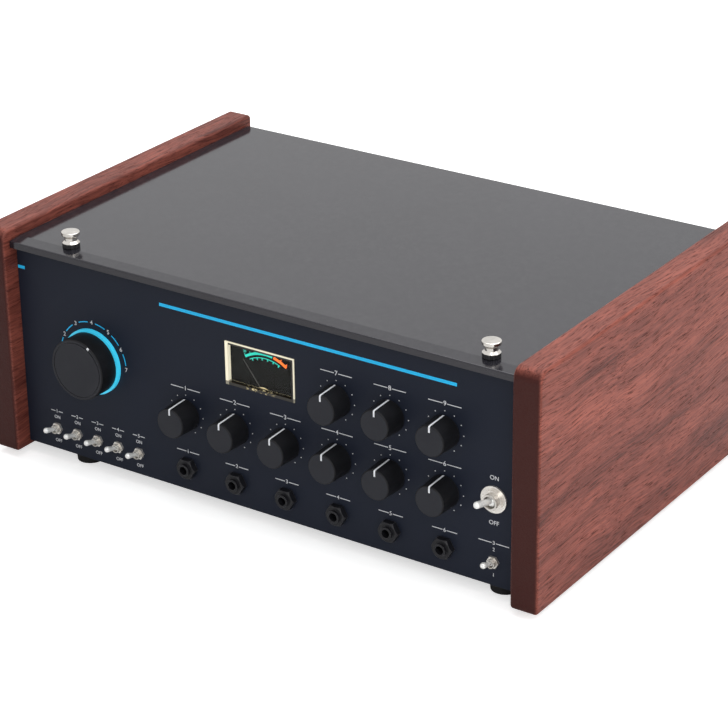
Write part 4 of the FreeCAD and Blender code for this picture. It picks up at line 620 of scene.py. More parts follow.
def brush_group():
    """Fine scratches that run along one direction."""
    inputs = (("Vector", "vector", None), ("Stretch", "vector", (2500.0, 25.0, 2500.0)))
    tree, given, result = new_group("Brushed lines", inputs, (("Line", "float"), ("Sheen", "float")))
    drawn = node(
        tree, "VectorMath", {"operation": "MULTIPLY"}, i0=given["Vector"], i1=given["Stretch"]
    )
    lines = node(tree, "TexNoise", Vector=drawn.outputs["Vector"], Scale=1.0, Detail=3.0)
    tree.links.new(lines.outputs["Fac"], result["Line"])
    slow = node(tree, "TexNoise", Vector=given["Vector"], Scale=30.0, Detail=2.0)
    tree.links.new(ramp(tree, slow.outputs["Fac"], 0.3, 0.7), result["Sheen"])
    return tree


def dust_group():
    """A thin film of dust on what faces up."""
    inputs = (("Vector", "vector", None), ("Amount", "float", 0.15))
    tree, given, result = new_group("Dust", inputs, (("Dust", "float"),))
    up = ramp(tree, facing(tree, "Z"), 0.6, 1.0)
    specks = node(tree, "TexNoise", Vector=given["Vector"], Scale=260.0, Detail=4.0, Roughness=0.7)
    film = maths(tree, "MULTIPLY", up, ramp(tree, specks.outputs["Fac"], 0.42, 0.75))
    tree.links.new(maths(tree, "MULTIPLY", film, given["Amount"], clamp=True), result["Dust"])
    return tree


def use_group(tree, name, maker, **inputs):
    """Places a node group, which its first user builds, and fills its inputs."""
    made = tree.nodes.new("ShaderNodeGroup")
    made.node_tree = bpy.data.node_groups.get(name) or maker()
    return fill(tree, made, **inputs).outputs


def worn(tree, place, **inputs):
    return use_group(tree, "Surface wear", wear_group, Vector=place, **inputs)


def dusted(tree, place, tone, amount, dust=DUST_COLOUR):
    """Lays a film of dust over a tone."""
    film = use_group(tree, "Dust", dust_group, Vector=place, Amount=amount)
    return blend(tree, film["Dust"], tone, dust)


def new_material(name):
    """A material with its shader and the object's own coordinates."""
    material = bpy.data.materials.new(name)
    material.use_nodes = True
    tree = material.node_tree
    shader = tree.nodes["Principled BSDF"]
    coordinates = node(tree, "TexCoord").outputs["Object"]
    return material, tree, shader, coordinates


def lit_height(tree, shader, height, strength, distance=0.0001):
    bump = node(tree, "Bump", Strength=strength, Distance=distance, Height=height)
    tree.links.new(bump.outputs["Normal"], shader.inputs["Normal"])


def shades(colour, factor):
    return tuple(min(1.0, part * factor) for part in colour[:3])


def spread(tree, mask, reach, least):
    """A value that rises from its least by a mask times its reach."""
    return maths(tree, "MULTIPLY_ADD", mask, reach, least)


def plain_finish(
    name, colour, rough=0.5, metallic=0.0, specular=0.5, grain=1500.0, bump=0.1, smudge=18.0,
    variation=0.12, edge=None, edge_radius=0.0006, dust=0.0, glow=0.0,
):
    """Paint, plastic, rubber or metal with grain, smudges, worn edges and dust."""
    material, tree, shader, place = new_material(name)
    wear = worn(tree, place, Grain_Scale=grain, Smudge_Scale=smudge, Edge_Radius=edge_radius)
    tone = blend(tree, wear["Smudge"], shades(colour, 1 - variation), shades(colour, 1 + variation))
    if edge:
        tone = blend(tree, wear["Edge"], tone, edge)
    if dust:
        tone = dusted(tree, place, tone, dust)
    if glow:
        fill(tree, shader, Emission_Color=tone, Emission_Strength=glow)
    fill(
        tree,
        shader,
        Base_Color=tone,
        Roughness=spread(tree, wear["Smudge"], 0.12, max(0.02, rough - 0.06)),
        Metallic=metallic,
        Specular_IOR_Level=specular,
    )
    lit_height(tree, shader, wear["Grain"], bump)
    return material


def brushed_finish(name, colour, rough, stretch=(2500.0, 25.0, 2500.0)):
    """Metal with fine directional lines."""
    material, tree, shader, place = new_material(name)
    lines = use_group(tree, "Brushed lines", brush_group, Vector=place, Stretch=stretch)
    wear = worn(tree, place, Edge_Radius=0.0004)
    tone = blend(tree, lines["Line"], shades(colour, 0.72), shades(colour, 1.1))
    tone = blend(tree, wear["Edge"], tone, shades(colour, 1.3))
    tone = dusted(tree, place, tone, 0.05)
    fill(
        tree,
        shader,
        Base_Color=tone,
        Roughness=spread(tree, lines["Sheen"], 0.15, rough),
        Metallic=1.0,
    )
    lit_height(tree, shader, lines["Line"], 0.15, 0.00005)
    return material


def clear_finish(name, tint, alpha, specular=0.5):
    """Clear sheet that shows what lies behind it."""
    material, tree, shader, place = new_material(name)
    wear = worn(tree, place, Smudge_Scale=60.0)
    fill(
        tree,
        shader,
        Base_Color=opaque(tint),
        Roughness=spread(tree, wear["Smudge"], 0.05, 0.03),
        Alpha=alpha,
        Specular_IOR_Level=specular,
    )
    return material


# Finishes of this unit


def wood_finish():
    """Red-brown boards with grain, pores and rubbed edges."""
    colours = settings()[0]
    material, tree, shader, place = new_material("Cheek wood")
    boards = {"Pale": opaque(colours.wood_pale), "Dark": opaque(colours.wood_dark)}
    grain = use_group(
        tree, "Wood grain", wood_group, Vector=place, End=opaque(colours.wood_end), **boards
    )
    wear = worn(tree, place, Edge_Radius=0.0015)
    rubbed = maths(tree, "MULTIPLY", wear["Edge"], 0.35)
    fill(
        tree,
        shader,
        Base_Color=blend(tree, rubbed, grain["Colour"], colours.wood_pale),
        Roughness=spread(tree, grain["Pore"], 0.25, 0.45),
        Specular_IOR_Level=0.22,
    )
    hollow = maths(tree, "SUBTRACT", grain["Figure"], grain["Pore"])
    lit_height(tree, shader, hollow, 0.3, 0.0002)
    return material


def knob_finish(name, face_limit=0.92):
    """Black moulding with rubbed edges and a front face painted lighter, painted light where the face looks
    forward.
    """
    colours = settings()[0]
    material, tree, shader, place = new_material(name)
    # Painted light: the surface that faces forward is painted lighter.
    front = ramp(tree, maths(tree, "MULTIPLY", facing(tree, "Y"), -1.0), face_limit, 0.995)
    wear = worn(tree, place, Grain_Scale=2200.0, Smudge_Scale=60.0)
    tone = blend(tree, front, colours.knob, colours.knob_face)
    tone = blend(tree, maths(tree, "MULTIPLY", wear["Smudge"], 0.3), tone, shades(colours.knob_face, 0.8))
    tone = blend(tree, maths(tree, "MULTIPLY", wear["Edge"], 0.5), tone, screen(92, 92, 98))
    fill(
        tree,
        shader,
        Base_Color=tone,
        Roughness=spread(tree, wear["Smudge"], 0.1, 0.42),
        Specular_IOR_Level=0.2,
    )
    lit_height(tree, shader, wear["Grain"], 0.15)
    return material


def lid_finish():
    """Gloss black with faint smudges and a soft orange-peel surface."""
    colours = settings()[0]
    material, tree, shader, place = new_material("Lid paint")
    wear = worn(tree, place, Grain_Scale=420.0, Smudge_Scale=9.0)
    tone = blend(tree, wear["Smudge"], shades(colours.lid, 0.9), shades(colours.lid, 1.12))
    fill(
        tree,
        shader,
        Base_Color=dusted(tree, place, tone, 0.03, LID_DUST_COLOUR),
        Roughness=spread(tree, wear["Smudge"], 0.035, 0.1),
        Specular_IOR_Level=0.58,
        Specular_Tint=(0.97, 0.96, 1.0, 1),
    )
    lit_height(tree, shader, wear["Grain"], 0.012, 0.00005)
    return material


def thumbscrew_finish():
    """Bright plating; below it the fluted flange is painted dark, painted shade at its foot and a painted
    reflection of the dark lid in its chrome.
    """
    colours = settings()[0]
    material, tree, shader, place = new_material("Thumbscrew plating")
    flange_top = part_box("thumbscrew_left")[1].z - 8.6 * MM
    height = node(tree, "SeparateXYZ", i0=place).outputs["Z"]
    turned = ramp(tree, height, flange_top, flange_top + 0.4 * MM)
    wear = worn(tree, place, Smudge_Scale=120.0)
    bright = blend(tree, wear["Smudge"], shades(colours.metal, 0.85), shades(colours.metal, 1.1))
    fill(
        tree,
        shader,
        # The dark colour below the flange line is painted shade and a painted reflection of the lid.
        Base_Color=blend(tree, turned, screen(34, 34, 36), bright),
        Roughness=spread(tree, turned, -0.3, 0.48),
        Metallic=turned,
    )
    lit_height(tree, shader, wear["Grain"], 0.04)
    return material


def zoned_finish(name, low_colour, high_colour, axis, limit, rough, metal=0.0):
    """Two colours that meet at a plane across the piece, of which the lower may be metal."""
    material, tree, shader, place = new_material(name)
    along = node(tree, "SeparateXYZ", i0=place).outputs[axis]
    share = ramp(tree, along, limit, limit + 0.1 * MM)
    wear = worn(tree, place, Smudge_Scale=50.0)
    varied = maths(tree, "MULTIPLY", wear["Smudge"], 0.25)
    first = blend(tree, varied, low_colour, shades(low_colour, 0.75))
    second = blend(tree, varied, high_colour, shades(high_colour, 0.75))
    fill(
        tree,
        shader,
        Base_Color=blend(tree, share, first, second),
        Metallic=spread(tree, share, -metal, metal),
        Roughness=spread(tree, wear["Smudge"], 0.12, rough),
    )
    lit_height(tree, shader, wear["Grain"], 0.08)
    return material


def ink_finish(name, colour, glow=0.0):
    return plain_finish(name, colour, rough=0.55, specular=0.25, grain=3000.0, variation=0.04, glow=glow)


# Operators, one for each group of pieces


class PieceOperator:
    """Lets a user undo a finish."""

    bl_options = {"REGISTER", "UNDO"}


class ECHO_OT_cheeks(PieceOperator, bpy.types.Operator):
    """Wooden end boards"""

    bl_idname = "echo.cheeks"
    bl_label = "Finish the cheeks"

    def execute(self, context):
        dress(wood_finish(), "cheek_left", "cheek_right")
        return {"FINISHED"}


class ECHO_OT_case(PieceOperator, bpy.types.Operator):
    """Tray, rear panel, lid, hinges, feet and screws"""

    bl_idname = "echo.case"
    bl_label = "Finish the case"

    def execute(self, context):
        colours = settings()[0]
        satin = plain_finish(
            "Tray paint", colours.case, rough=0.42, grain=900.0, bump=0.25, edge=screen(96, 96, 98), dust=0.1
        )
        dress(satin, "chassis_tray", "rear_panel")
        dress(lid_finish(), "lid")
        rubber = plain_finish(
            "Foot rubber", colours.rubber, rough=0.75, specular=0.3, grain=1200.0, bump=0.4, smudge=80.0
        )
        dress(rubber, "feet")
        zinc = plain_finish(
            "Zinc plating", colours.steel, rough=0.35, metallic=1.0, grain=900.0, bump=0.08, smudge=160.0,
            edge=screen(210, 210, 210), edge_radius=0.0003,
        )
        dress(zinc, "case_screws", "case_hinge_leaves", "lid_hinge_leaves")
        self.add_screw_caps(zinc)
        self.add_leaf_rivets(zinc)
        return {"FINISHED"}

    def add_screw_caps(self, material):
        """Domed caps over the rear panel's four screws."""
        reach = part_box("chassis_tray")[1].x - CAP_INSET * MM
        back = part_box("rear_panel")[1].y + CAP_STAND * MM
        places = []
        for side in (-1, 1):
            for level in CAP_LEVELS:
                places.append(Vector((side * reach, back, BASE + level * MM)))
        caps = repeated(lambda centre: lathe(centre, CAP_PROFILE, "Y", 20), places)
        finished(caps, "rear_screw_caps", material, "case")

    def add_leaf_rivets(self, material):
        """Round rivet heads on the hinges' rear leaves."""
        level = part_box("case_hinge_leaves")[0].z + RIVET_LIFT * MM
        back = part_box("rear_panel")[1].y + LEAF_THICKNESS * MM
        places = []
        for side in (-1, 1):
            for step in (-RIVET_STEP, 0, RIVET_STEP):
                places.append(Vector(((side * HINGE_PLACE + step) * MM, back, level)))
        heads = repeated(lambda centre: lathe(centre, RIVET_PROFILE, "Y", 18), places)
        finished(heads, "hinge_rivets", material, "case")


class ECHO_OT_panel(PieceOperator, bpy.types.Operator):
    """Front panel with its printed stripe, dots, figures and dial scale"""

    bl_idname = "echo.panel"
    bl_label = "Finish the panel"

    def execute(self, context):
        colours = settings()[0]
        paint = plain_finish(
            "Panel paint", colours.panel, rough=0.55, specular=0.17, grain=2600.0, bump=0.35, smudge=7.0,
            variation=0.06, edge=screen(84, 88, 96), edge_radius=0.0004,
        )
        dress(paint, "front_panel")
        white = ink_finish("White ink", colours.print_white)
        # The blue ink glows a little: painted light that makes the stripe and dial arcs brighter than print
        # under the lamps.
        blue = ink_finish("Blue ink", colours.stripe, glow=0.12)
        self.add_stripe(blue)
        self.add_dots(white)
        self.add_labels(white)
        self.add_mode_scale(white, blue)
        return {"FINISHED"}

    def add_stripe(self, ink):
        sizes = settings()[1]
        half = sizes.stripe_height / 2
        level = BASE + sizes.stripe_level
        bars = []
        for start, end in STRIPE_SPANS:
            low = Vector((start * MM, FACE - sizes.print_depth, level - half))
            high = Vector((end * MM, FACE, level + half))
            bars.append(plate(low, high, sizes.print_depth * INK_EDGE))
        finished(bars, "panel_stripe", ink, "case")

    def add_dots(self, ink):
        sizes = settings()[1]
        places = []
        for name in CONTROL_ORDER:
            for index in range(sizes.dot_count):
                turn = (index / (sizes.dot_count - 1) - 0.5) * sizes.dot_span
                places.append(clock(middle(name), sizes.dot_circle, turn))
        dots = repeated(lambda place: disc(place, sizes.dot_radius, sizes.print_depth, 12), places)
        finished(dots, "knob_dots", ink, "case")

    def label(self, text, centre, width, height):
        """A plain figure between two thin rules, as wide as a label."""
        depth = settings()[1].print_depth
        pieces = [figure(text, centre, height, depth)]
        inner = height * FIGURE_WIDTH * len(text) / 2 + RULE_GAP * MM
        for side in (-1, 1):
            start, end = sorted((centre.x + side * inner, centre.x + side * width / 2))
            low = Vector((start, FACE - depth, centre.z - RULE_HALF * MM))
            high = Vector((end, FACE, centre.z + RULE_HALF * MM))
            pieces.append(plate(low, high, depth * INK_EDGE))
        return pieces

    def words(self, across, pairs, height):
        """Words over each other at one place across the panel."""
        depth = settings()[1].print_depth
        return [figure(text, Vector((across, FACE, BASE + up * MM)), height, depth) for text, up in pairs]

    def add_labels(self, ink):
        height = settings()[1].figure_height
        marks = []
        for number, name in enumerate(CONTROL_ORDER, 1):
            centre = middle(name)
            place = Vector((centre.x, FACE, centre.z + KNOB_LABEL_LIFT * MM))
            marks += self.label(str(number), place, KNOB_LABEL_WIDTH * MM, height)
        for number, name in enumerate(CONTROL_ORDER[:JACK_COUNT], 1):
            place = Vector((middle(name).x, FACE, BASE + JACK_LABEL_LEVEL * MM))
            marks += self.label(str(number), place, JACK_LABEL_WIDTH * MM, height * 0.85)
        for number, name in enumerate(LEVER_ORDER, 1):
            place = Vector((middle(name).x, FACE, BASE + ROW_LABEL_LEVEL * MM))
            marks += self.label(str(number), place, ROW_LABEL_WIDTH * MM, height * 0.8)
            marks += self.words(place.x, ROW_WORDS, height * 0.72)
        place = Vector((middle("toggle_level").x, FACE, BASE + LEVEL_LABEL_LEVEL * MM))
        marks += self.label("3", place, LEVEL_LABEL_WIDTH * MM, height * 0.8)
        marks += self.words(place.x, LEVEL_WORDS, height * 0.75)
        marks += self.words(middle("toggle_power").x, POWER_WORDS, height * 0.9)
        finished(marks, "panel_figures", ink, "case")

    def add_mode_scale(self, white, blue):
        sizes = settings()[1]
        centre = middle("mode_knob")
        figures = []
        arcs = []
        for position in range(1, sizes.mode_count + 1):
            turn = MODE_STEP * (position - (sizes.mode_count + 1) / 2)
            place = clock(centre, sizes.dial_circle, turn)
            figures.append(figure(str(position), place, MODE_FIGURE * MM, sizes.print_depth))
            if position < sizes.mode_count:
                limits = (turn + MODE_ARC_GAP, turn + MODE_STEP - MODE_ARC_GAP)
                arcs.append(arc(centre, sizes.dial_circle, sizes.dial_line, sizes.print_depth, *limits))
        finished(figures, "mode_figures", white, "case")
        finished(arcs, "mode_arcs", blue, "case")


def painted_line(source, centre, turn, width, inner, front_only=False, outer=None):
    """A strip of paint on a knob: the knob's own surface, cut to the strip and given a thickness."""
    depth = settings()[1].pointer_depth
    piece = NODES[source].copy()
    piece.data = NODES[source].data.copy()
    for key in list(piece.keys()):
        del piece[key]
    piece.parent = None
    bpy.context.collection.objects.link(piece)
    outward = Vector((math.sin(turn), 0, math.cos(turn)))
    across = Vector((math.cos(turn), 0, -math.sin(turn)))
    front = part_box(source)[0].y
    cuts = [
        (centre + across * width / 2, across),
        (centre - across * width / 2, -across),
        (centre + outward * inner, -outward),
        (Vector((0, FACE - KNOB_FOOT * MM, 0)), Vector((0, 1, 0))),
    ]
    if outer:
        cuts.append((centre + outward * outer, outward))
    if front_only:
        cuts.append((Vector((0, front + FACE_SKIN * MM, 0)), Vector((0, 1, 0))))

    def slice_all():
        bpy.ops.mesh.remove_doubles(threshold=MERGE_DISTANCE)
        for point, normal in cuts:
            bpy.ops.mesh.select_all(action="SELECT")
            bpy.ops.mesh.bisect(plane_co=point, plane_no=normal, clear_outer=True)

    edit(piece, slice_all)
    coat = piece.modifiers.new("Paint", "SOLIDIFY")
    coat.thickness = depth
    coat.offset = 1
    select_only(piece)
    bpy.ops.object.modifier_apply(modifier=coat.name)
    return smooth(piece)


class ECHO_OT_knobs(PieceOperator, bpy.types.Operator):
    """Knobs, the mode dial and its blue ring"""

    bl_idname = "echo.knobs"
    bl_label = "Finish the knobs"

    def execute(self, context):
        colours, sizes, _ = settings()
        black = knob_finish("Knob plastic")
        paint = ink_finish("Pointer paint", shades(colours.print_white, 1.15))
        dress(black, *SMALL_KNOBS)
        for name in SMALL_KNOBS:
            centre = middle(name)
            reach = KNOB_FACE_RADIUS * MM - sizes.pointer_reach
            line = painted_line(name, centre, 0.0, sizes.pointer_width, reach)
            control = name.replace("knob_", "")
            finished([line], control + "_pointer", paint, control + "_dial")
        dress(knob_finish("Mode dial plastic", 0.96), "mode_knob")
        centre = middle("mode_knob")
        width = MODE_MARK_WIDTH * MM
        inner, outer = MODE_MARK_INNER * MM, MODE_MARK_OUTER * MM
        mark = painted_line("mode_knob", centre, MODE_MARK_TURN, width, inner, True, outer)
        finished([mark], "mode_pointer", paint, "mode_dial")
        # The ring's plastic glows: painted light, as the ring holds no lamp.
        ring = plain_finish(
            "Ring plastic", colours.ring, rough=0.35, grain=1200.0, bump=0.05, variation=0.03, glow=0.35
        )
        dress(ring, "mode_ring")
        return {"FINISHED"}


class ECHO_OT_switches(PieceOperator, bpy.types.Operator):
    """Levers, nuts, bushes and the parts behind the panel"""

    bl_idname = "echo.switches"
    bl_label = "Finish the switches"

    def execute(self, context):
        colours = settings()[0]
        plating = plain_finish(
            "Bright nickel", shades(colours.metal, 1.6), rough=0.24, metallic=0.25, grain=700.0, bump=0.02,
            smudge=200.0, variation=0.08,
        )
        dress(plating, *LEVERS)
        nuts = plain_finish(
            "Nut plating", shades(colours.metal, 1.2), rough=0.24, metallic=0.7, grain=600.0, bump=0.05,
            smudge=220.0, edge=screen(240, 238, 232), edge_radius=0.0003,
        )
        dress(nuts, "panel_nuts")
        back = FACE + PANEL_THICKNESS * MM
        bodies = zoned_finish("Switch bodies", colours.metal, screen(38, 36, 34), "Y", back, 0.3, 1.0)
        dress(bodies, "toggle_bodies")
        pots = brushed_finish("Stamped steel", colours.steel, 0.32)
        dress(pots, "potentiometers", "mode_switch")
        self.add_threads(nuts)
        return {"FINISHED"}

    def add_threads(self, material):
        """Thread ridges on the bushes that stand out of the nuts."""
        ridges = []
        for name in (*SMALL_LEVERS, "toggle_power"):
            radius, level, threads = OTHER_BUSHES.get(name, ROW_BUSH)
            for thread in threads:
                bpy.ops.mesh.primitive_torus_add(
                    major_radius=radius * MM,
                    minor_radius=settings()[1].thread_depth,
                    major_segments=28,
                    minor_segments=6,
                    location=(middle(name).x, FACE - thread * MM, BASE + level * MM),
                    rotation=(math.pi / 2, 0, 0),
                )
                ridges.append(settle(bpy.context.object))
        smooth(finished(ridges, "bush_threads", material, "case"), 60)


class ECHO_OT_jacks(PieceOperator, bpy.types.Operator):
    """Jack sockets with their nuts and contact springs"""

    bl_idname = "echo.jacks"
    bl_label = "Finish the jacks"

    def execute(self, context):
        black = plain_finish(
            "Jack plastic", screen(26, 26, 30), rough=0.42, specular=0.3, grain=1400.0, bump=0.15,
            smudge=120.0, edge=screen(96, 96, 100), edge_radius=0.0005,
        )
        dress(black, "jack_bodies", "jack_nuts")
        return {"FINISHED"}


class ECHO_OT_meter(PieceOperator, bpy.types.Operator):
    """Level meter: lit frame, dark dial with its scale, needle and window"""

    bl_idname = "echo.meter"
    bl_label = "Finish the meter"

    def execute(self, context):
        colours = settings()[0]
        dress(self.frame_finish(colours), "meter_bezel")
        dress(clear_finish("Meter window", (0.9, 0.95, 0.95), 0.015, 0.02), "meter_window")
        card = plain_finish("Dial card", colours.dial, rough=0.7, specular=0.04, grain=1800.0, bump=0.2)
        dress(card, "meter_dial")
        case = plain_finish("Meter box plastic", screen(26, 26, 26), rough=0.5, grain=1000.0)
        dress(case, "meter_case")
        needle = plain_finish("Needle enamel", screen(88, 84, 80), rough=0.4, metallic=0.3)
        dress(needle, "meter_needle")
        teal = ink_finish("Teal scale ink", colours.dial_teal, glow=0.75)
        red = ink_finish("Red scale ink", colours.dial_red, glow=0.9)
        self.add_scale(teal, red)
        return {"FINISHED"}

    def frame_finish(self, colours):
        """Clear-edged frame, dark inside: the pale outer rim and the lit left side are painted highlights,
        the warm glints at the foot and on the pivot cover are painted reflections, and the whole frame has a
        faint painted glow.
        """
        material, tree, shader, place = new_material("Meter frame")
        left_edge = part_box("meter_bezel")[0].x
        axes = node(tree, "SeparateXYZ", i0=place).outputs
        from_middle = maths(tree, "SUBTRACT", axes["X"], middle("meter_bezel").x)
        across = maths(tree, "ABSOLUTE", from_middle)
        up = maths(tree, "SUBTRACT", axes["Z"], BASE + METER_LEVEL * MM)
        # Painted highlights: a pale line along the outer rim and a lit band down the left side.
        side_rim = ramp(tree, across, 28.5 * MM, 28.9 * MM)
        top_rim = ramp(tree, up, 15.5 * MM, 15.9 * MM)
        left = ramp(tree, axes["X"], left_edge + 2.9 * MM, left_edge + 2.7 * MM)
        pale = maths(tree, "MAXIMUM", maths(tree, "MAXIMUM", side_rim, top_rim), left)
        foot = ramp(tree, up, -13.5 * MM, -13.9 * MM)
        above_foot = maths(tree, "SUBTRACT", 1.0, maths(tree, "MULTIPLY", foot, 0.75))
        wear = worn(tree, place, Smudge_Scale=420.0)
        # Painted reflections: warm glints near the middle of the foot and on the pivot cover.
        glint = ramp(tree, wear["Smudge"], 0.55, 0.95)
        near = ramp(tree, across, 16 * MM, 4 * MM)
        gilt = maths(tree, "MULTIPLY", maths(tree, "MULTIPLY", glint, near), foot)
        cover = ramp(tree, axes["Y"], FACE + 2.9 * MM, FACE + 2.95 * MM)
        share = maths(tree, "MULTIPLY", pale, above_foot)
        tone = blend(tree, share, screen(24, 20, 12), colours.bezel)
        tone = blend(tree, maths(tree, "MAXIMUM", gilt, cover), tone, colours.gilt)
        # The faint glow is painted light, as no lamp sits in the frame.
        fill(
            tree, shader, Base_Color=tone, Emission_Color=tone, Emission_Strength=0.45, Roughness=0.25
        )
        lit_height(tree, shader, wear["Grain"], 0.05)
        return material

    def add_scale(self, teal, red):
        low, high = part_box("meter_dial")
        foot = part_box("meter_needle")[0].z
        pivot = Vector(((low.x + high.x) / 2, 0, foot + PIVOT_LIFT * MM))
        back = low.y - FACE
        main = [self.band(pivot, back, *UPPER_BAND), self.band(pivot, back, *LOWER_BAND)]
        main += [self.tick(pivot, back, degrees, 31.9, 33.3, 0.5) for degrees in UPPER_TICKS]
        main += [self.tick(pivot, back, degrees, 26.4, 28.2, 0.8) for degrees in LOWER_TICKS]
        for text, degrees in SCALE_FIGURES:
            place = clock(pivot, 34.6 * MM, math.radians(degrees), back)
            main.append(figure(text, place, 1.9 * MM, SCALE_DEPTH * MM))
        finished(main, "meter_scale", teal, "case")
        end = [self.band(pivot, back, *RED_BAND)]
        end += [self.tick(pivot, back, degrees, 31.9, 33.6, 0.7) for degrees in RED_TICKS]
        place = clock(pivot, 34.9 * MM, math.radians(20), back)
        end.append(figure("3", place, 2.2 * MM, SCALE_DEPTH * MM))
        finished(end, "meter_red_scale", red, "case")

    def band(self, pivot, back, radius, width, start, finish):
        limits = (math.radians(start), math.radians(finish))
        return arc(pivot, radius * MM, width * MM, SCALE_DEPTH * MM, *limits, back)

    def tick(self, pivot, back, degrees, inner, outer, width):
        radius = (inner + outer) / 2
        half = math.degrees(width / radius) / 2
        return self.band(pivot, back, radius, outer - inner, degrees - half, degrees + half)


class ECHO_OT_thumbscrews(PieceOperator, bpy.types.Operator):
    """Thumbscrews on the lid and their bushes"""

    bl_idname = "echo.thumbscrews"
    bl_label = "Finish the thumbscrews"

    def execute(self, context):
        colours = settings()[0]
        dress(thumbscrew_finish(), "thumbscrew_left", "thumbscrew_right")
        brass = plain_finish("Turned brass", colours.brass, rough=0.3, metallic=1.0, smudge=150.0)
        dress(brass, "thumbscrew_sockets", "motor_pulley")
        return {"FINISHED"}


class ECHO_OT_deck(PieceOperator, bpy.types.Operator):
    """Tape deck under the lid"""

    bl_idname = "echo.deck"
    bl_label = "Finish the tape deck"

    def execute(self, context):
        colours = settings()[0]
        plate_metal = brushed_finish("Brushed deck", colours.aluminium, 0.34, (25.0, 2500.0, 2500.0))
        dress(plate_metal, "deck_plate", "standoffs", "drive_bracket", "pinch_arm")
        steel = brushed_finish("Turned steel", colours.steel, 0.22, (900.0, 900.0, 2600.0))
        dress(steel, "deck_guides", "capstan_flywheel", "drive_motor")
        heads = plain_finish(
            "Head shells", colours.metal, rough=0.2, metallic=1.0, smudge=90.0, edge=screen(240, 240, 240)
        )
        dress(heads, "tape_heads")
        rubber = plain_finish("Drive rubber", colours.rubber, rough=0.7, bump=0.3, smudge=120.0)
        dress(rubber, "drive_belt", "pinch_roller")
        film = plain_finish("Tape film", colours.tape, rough=0.28, grain=200.0, bump=0.02, smudge=40.0)
        dress(film, "tape_loop")
        tank = plain_finish(
            "Tank paint", colours.case, rough=0.4, bump=0.2, edge=screen(100, 100, 100), dust=0.1
        )
        dress(tank, "tape_tank")
        dress(clear_finish("Clear cover", (0.85, 0.9, 0.92), 0.14), "tank_cover")
        self.add_head_details(steel)
        self.add_cover_screws(steel)
        return {"FINISHED"}

    def add_head_details(self, material):
        """A mounting foot with two domed screws before each head, and a cap on it."""
        low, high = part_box("tape_heads")
        first, last = low.x + HEAD_HALF * MM, high.x - HEAD_HALF * MM
        pieces = []
        places = []
        for index in range(HEAD_COUNT):
            x = first + index * (last - first) / (HEAD_COUNT - 1)
            foot_low = Vector((x - 10 * MM, low.y - 5 * MM, low.z))
            foot_high = Vector((x + 10 * MM, low.y + 0.2 * MM, low.z + 1.2 * MM))
            pieces.append(plate(foot_low, foot_high, SOFT_EDGE * MM))
            cap_low = Vector((x - 5 * MM, low.y + 1 * MM, high.z))
            cap_high = Vector((x + 5 * MM, high.y - 5 * MM, high.z + 0.8 * MM))
            pieces.append(plate(cap_low, cap_high, SOFT_EDGE * MM))
            for side in (-1, 1):
                places.append(Vector((x + side * 7 * MM, low.y - 2.4 * MM, foot_high.z)))
        screws = repeated(lambda centre: lathe(centre, HEAD_SCREW_PROFILE, "Z", 18), places)
        finished(pieces, "head_mounts", material, "case")
        finished(screws, "head_screws", material, "case")

    def add_cover_screws(self, material):
        low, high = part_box("tank_cover")
        across, back = (inset * MM for inset in COVER_SCREW_INSETS)
        places = []
        for x in (low.x + across, high.x - across):
            for y in (low.y + back, high.y - back):
                places.append(Vector((x, y, high.z)))
        knobs = repeated(lambda centre: lathe(centre, COVER_SCREW_PROFILE, "Z", 24), places)
        finished(knobs, "cover_screws", material, "case")


class ECHO_OT_electronics(PieceOperator, bpy.types.Operator):
    """Boards, transformer and mains inlet"""

    bl_idname = "echo.electronics"
    bl_label = "Finish the electronics"

    def execute(self, context):
        colours = settings()[0]
        dark = screen(34, 34, 38)
        boards = zoned_finish("Circuit boards", colours.laminate, dark, "Z", BASE + BOARD_TOP * MM, 0.35)
        dress(boards, "circuit_boards")
        iron, winding = screen(70, 66, 62), shades(colours.copper, 0.9)
        core = zoned_finish("Transformer iron", iron, winding, "Z", BASE + CORE_TOP * MM, 0.4, 0.5)
        dress(core, "transformer")
        inlet = plain_finish(
            "Inlet moulding", screen(30, 30, 31), rough=0.5, grain=1300.0, bump=0.2, edge=screen(80, 80, 80)
        )
        dress(inlet, "mains_inlet")
        self.add_chip_legs()
        self.add_blade_sleeves()
        return {"FINISHED"}

    def add_chip_legs(self):
        """Tinned legs along both sides of each chip on the main board."""
        tin = plain_finish("Tinned legs", screen(190, 190, 190), rough=0.3, metallic=1.0)
        places = []
        for row in CHIP_ROWS:
            for left in CHIP_LEFTS:
                for step in range(LEG_COUNT):
                    for back in (row - LEG_SIZE[1], row + CHIP_WIDTH):
                        places.append(spot(left + step * LEG_PITCH - LEG_SIZE[0] / 2, back, LEG_LEVEL))
        legs = repeated(lambda low: plate(low, low + Vector(LEG_SIZE) * MM, LEG_EDGE * MM), places)
        finished(legs, "chip_legs", tin, "case")

    def add_blade_sleeves(self):
        """Plated tips over the inlet's three blades."""
        plating = plain_finish("Blade plating", screen(200, 196, 186), rough=0.22, metallic=1.0)
        centre = middle("mains_inlet")
        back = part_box("mains_inlet")[1].y
        start, tip = (back - depth * MM for depth in BLADE_SPAN)
        half = Vector((BLADE_HALF[0], 0, BLADE_HALF[1])) * MM
        pieces = []
        for across, up in BLADES:
            x, z = centre.x + across * MM, centre.z + up * MM
            low, high = Vector((x, start, z)) - half, Vector((x, tip, z)) + half
            pieces.append(plate(low, high, SOFT_EDGE * MM))
        finished(pieces, "inlet_blades", plating, "case")


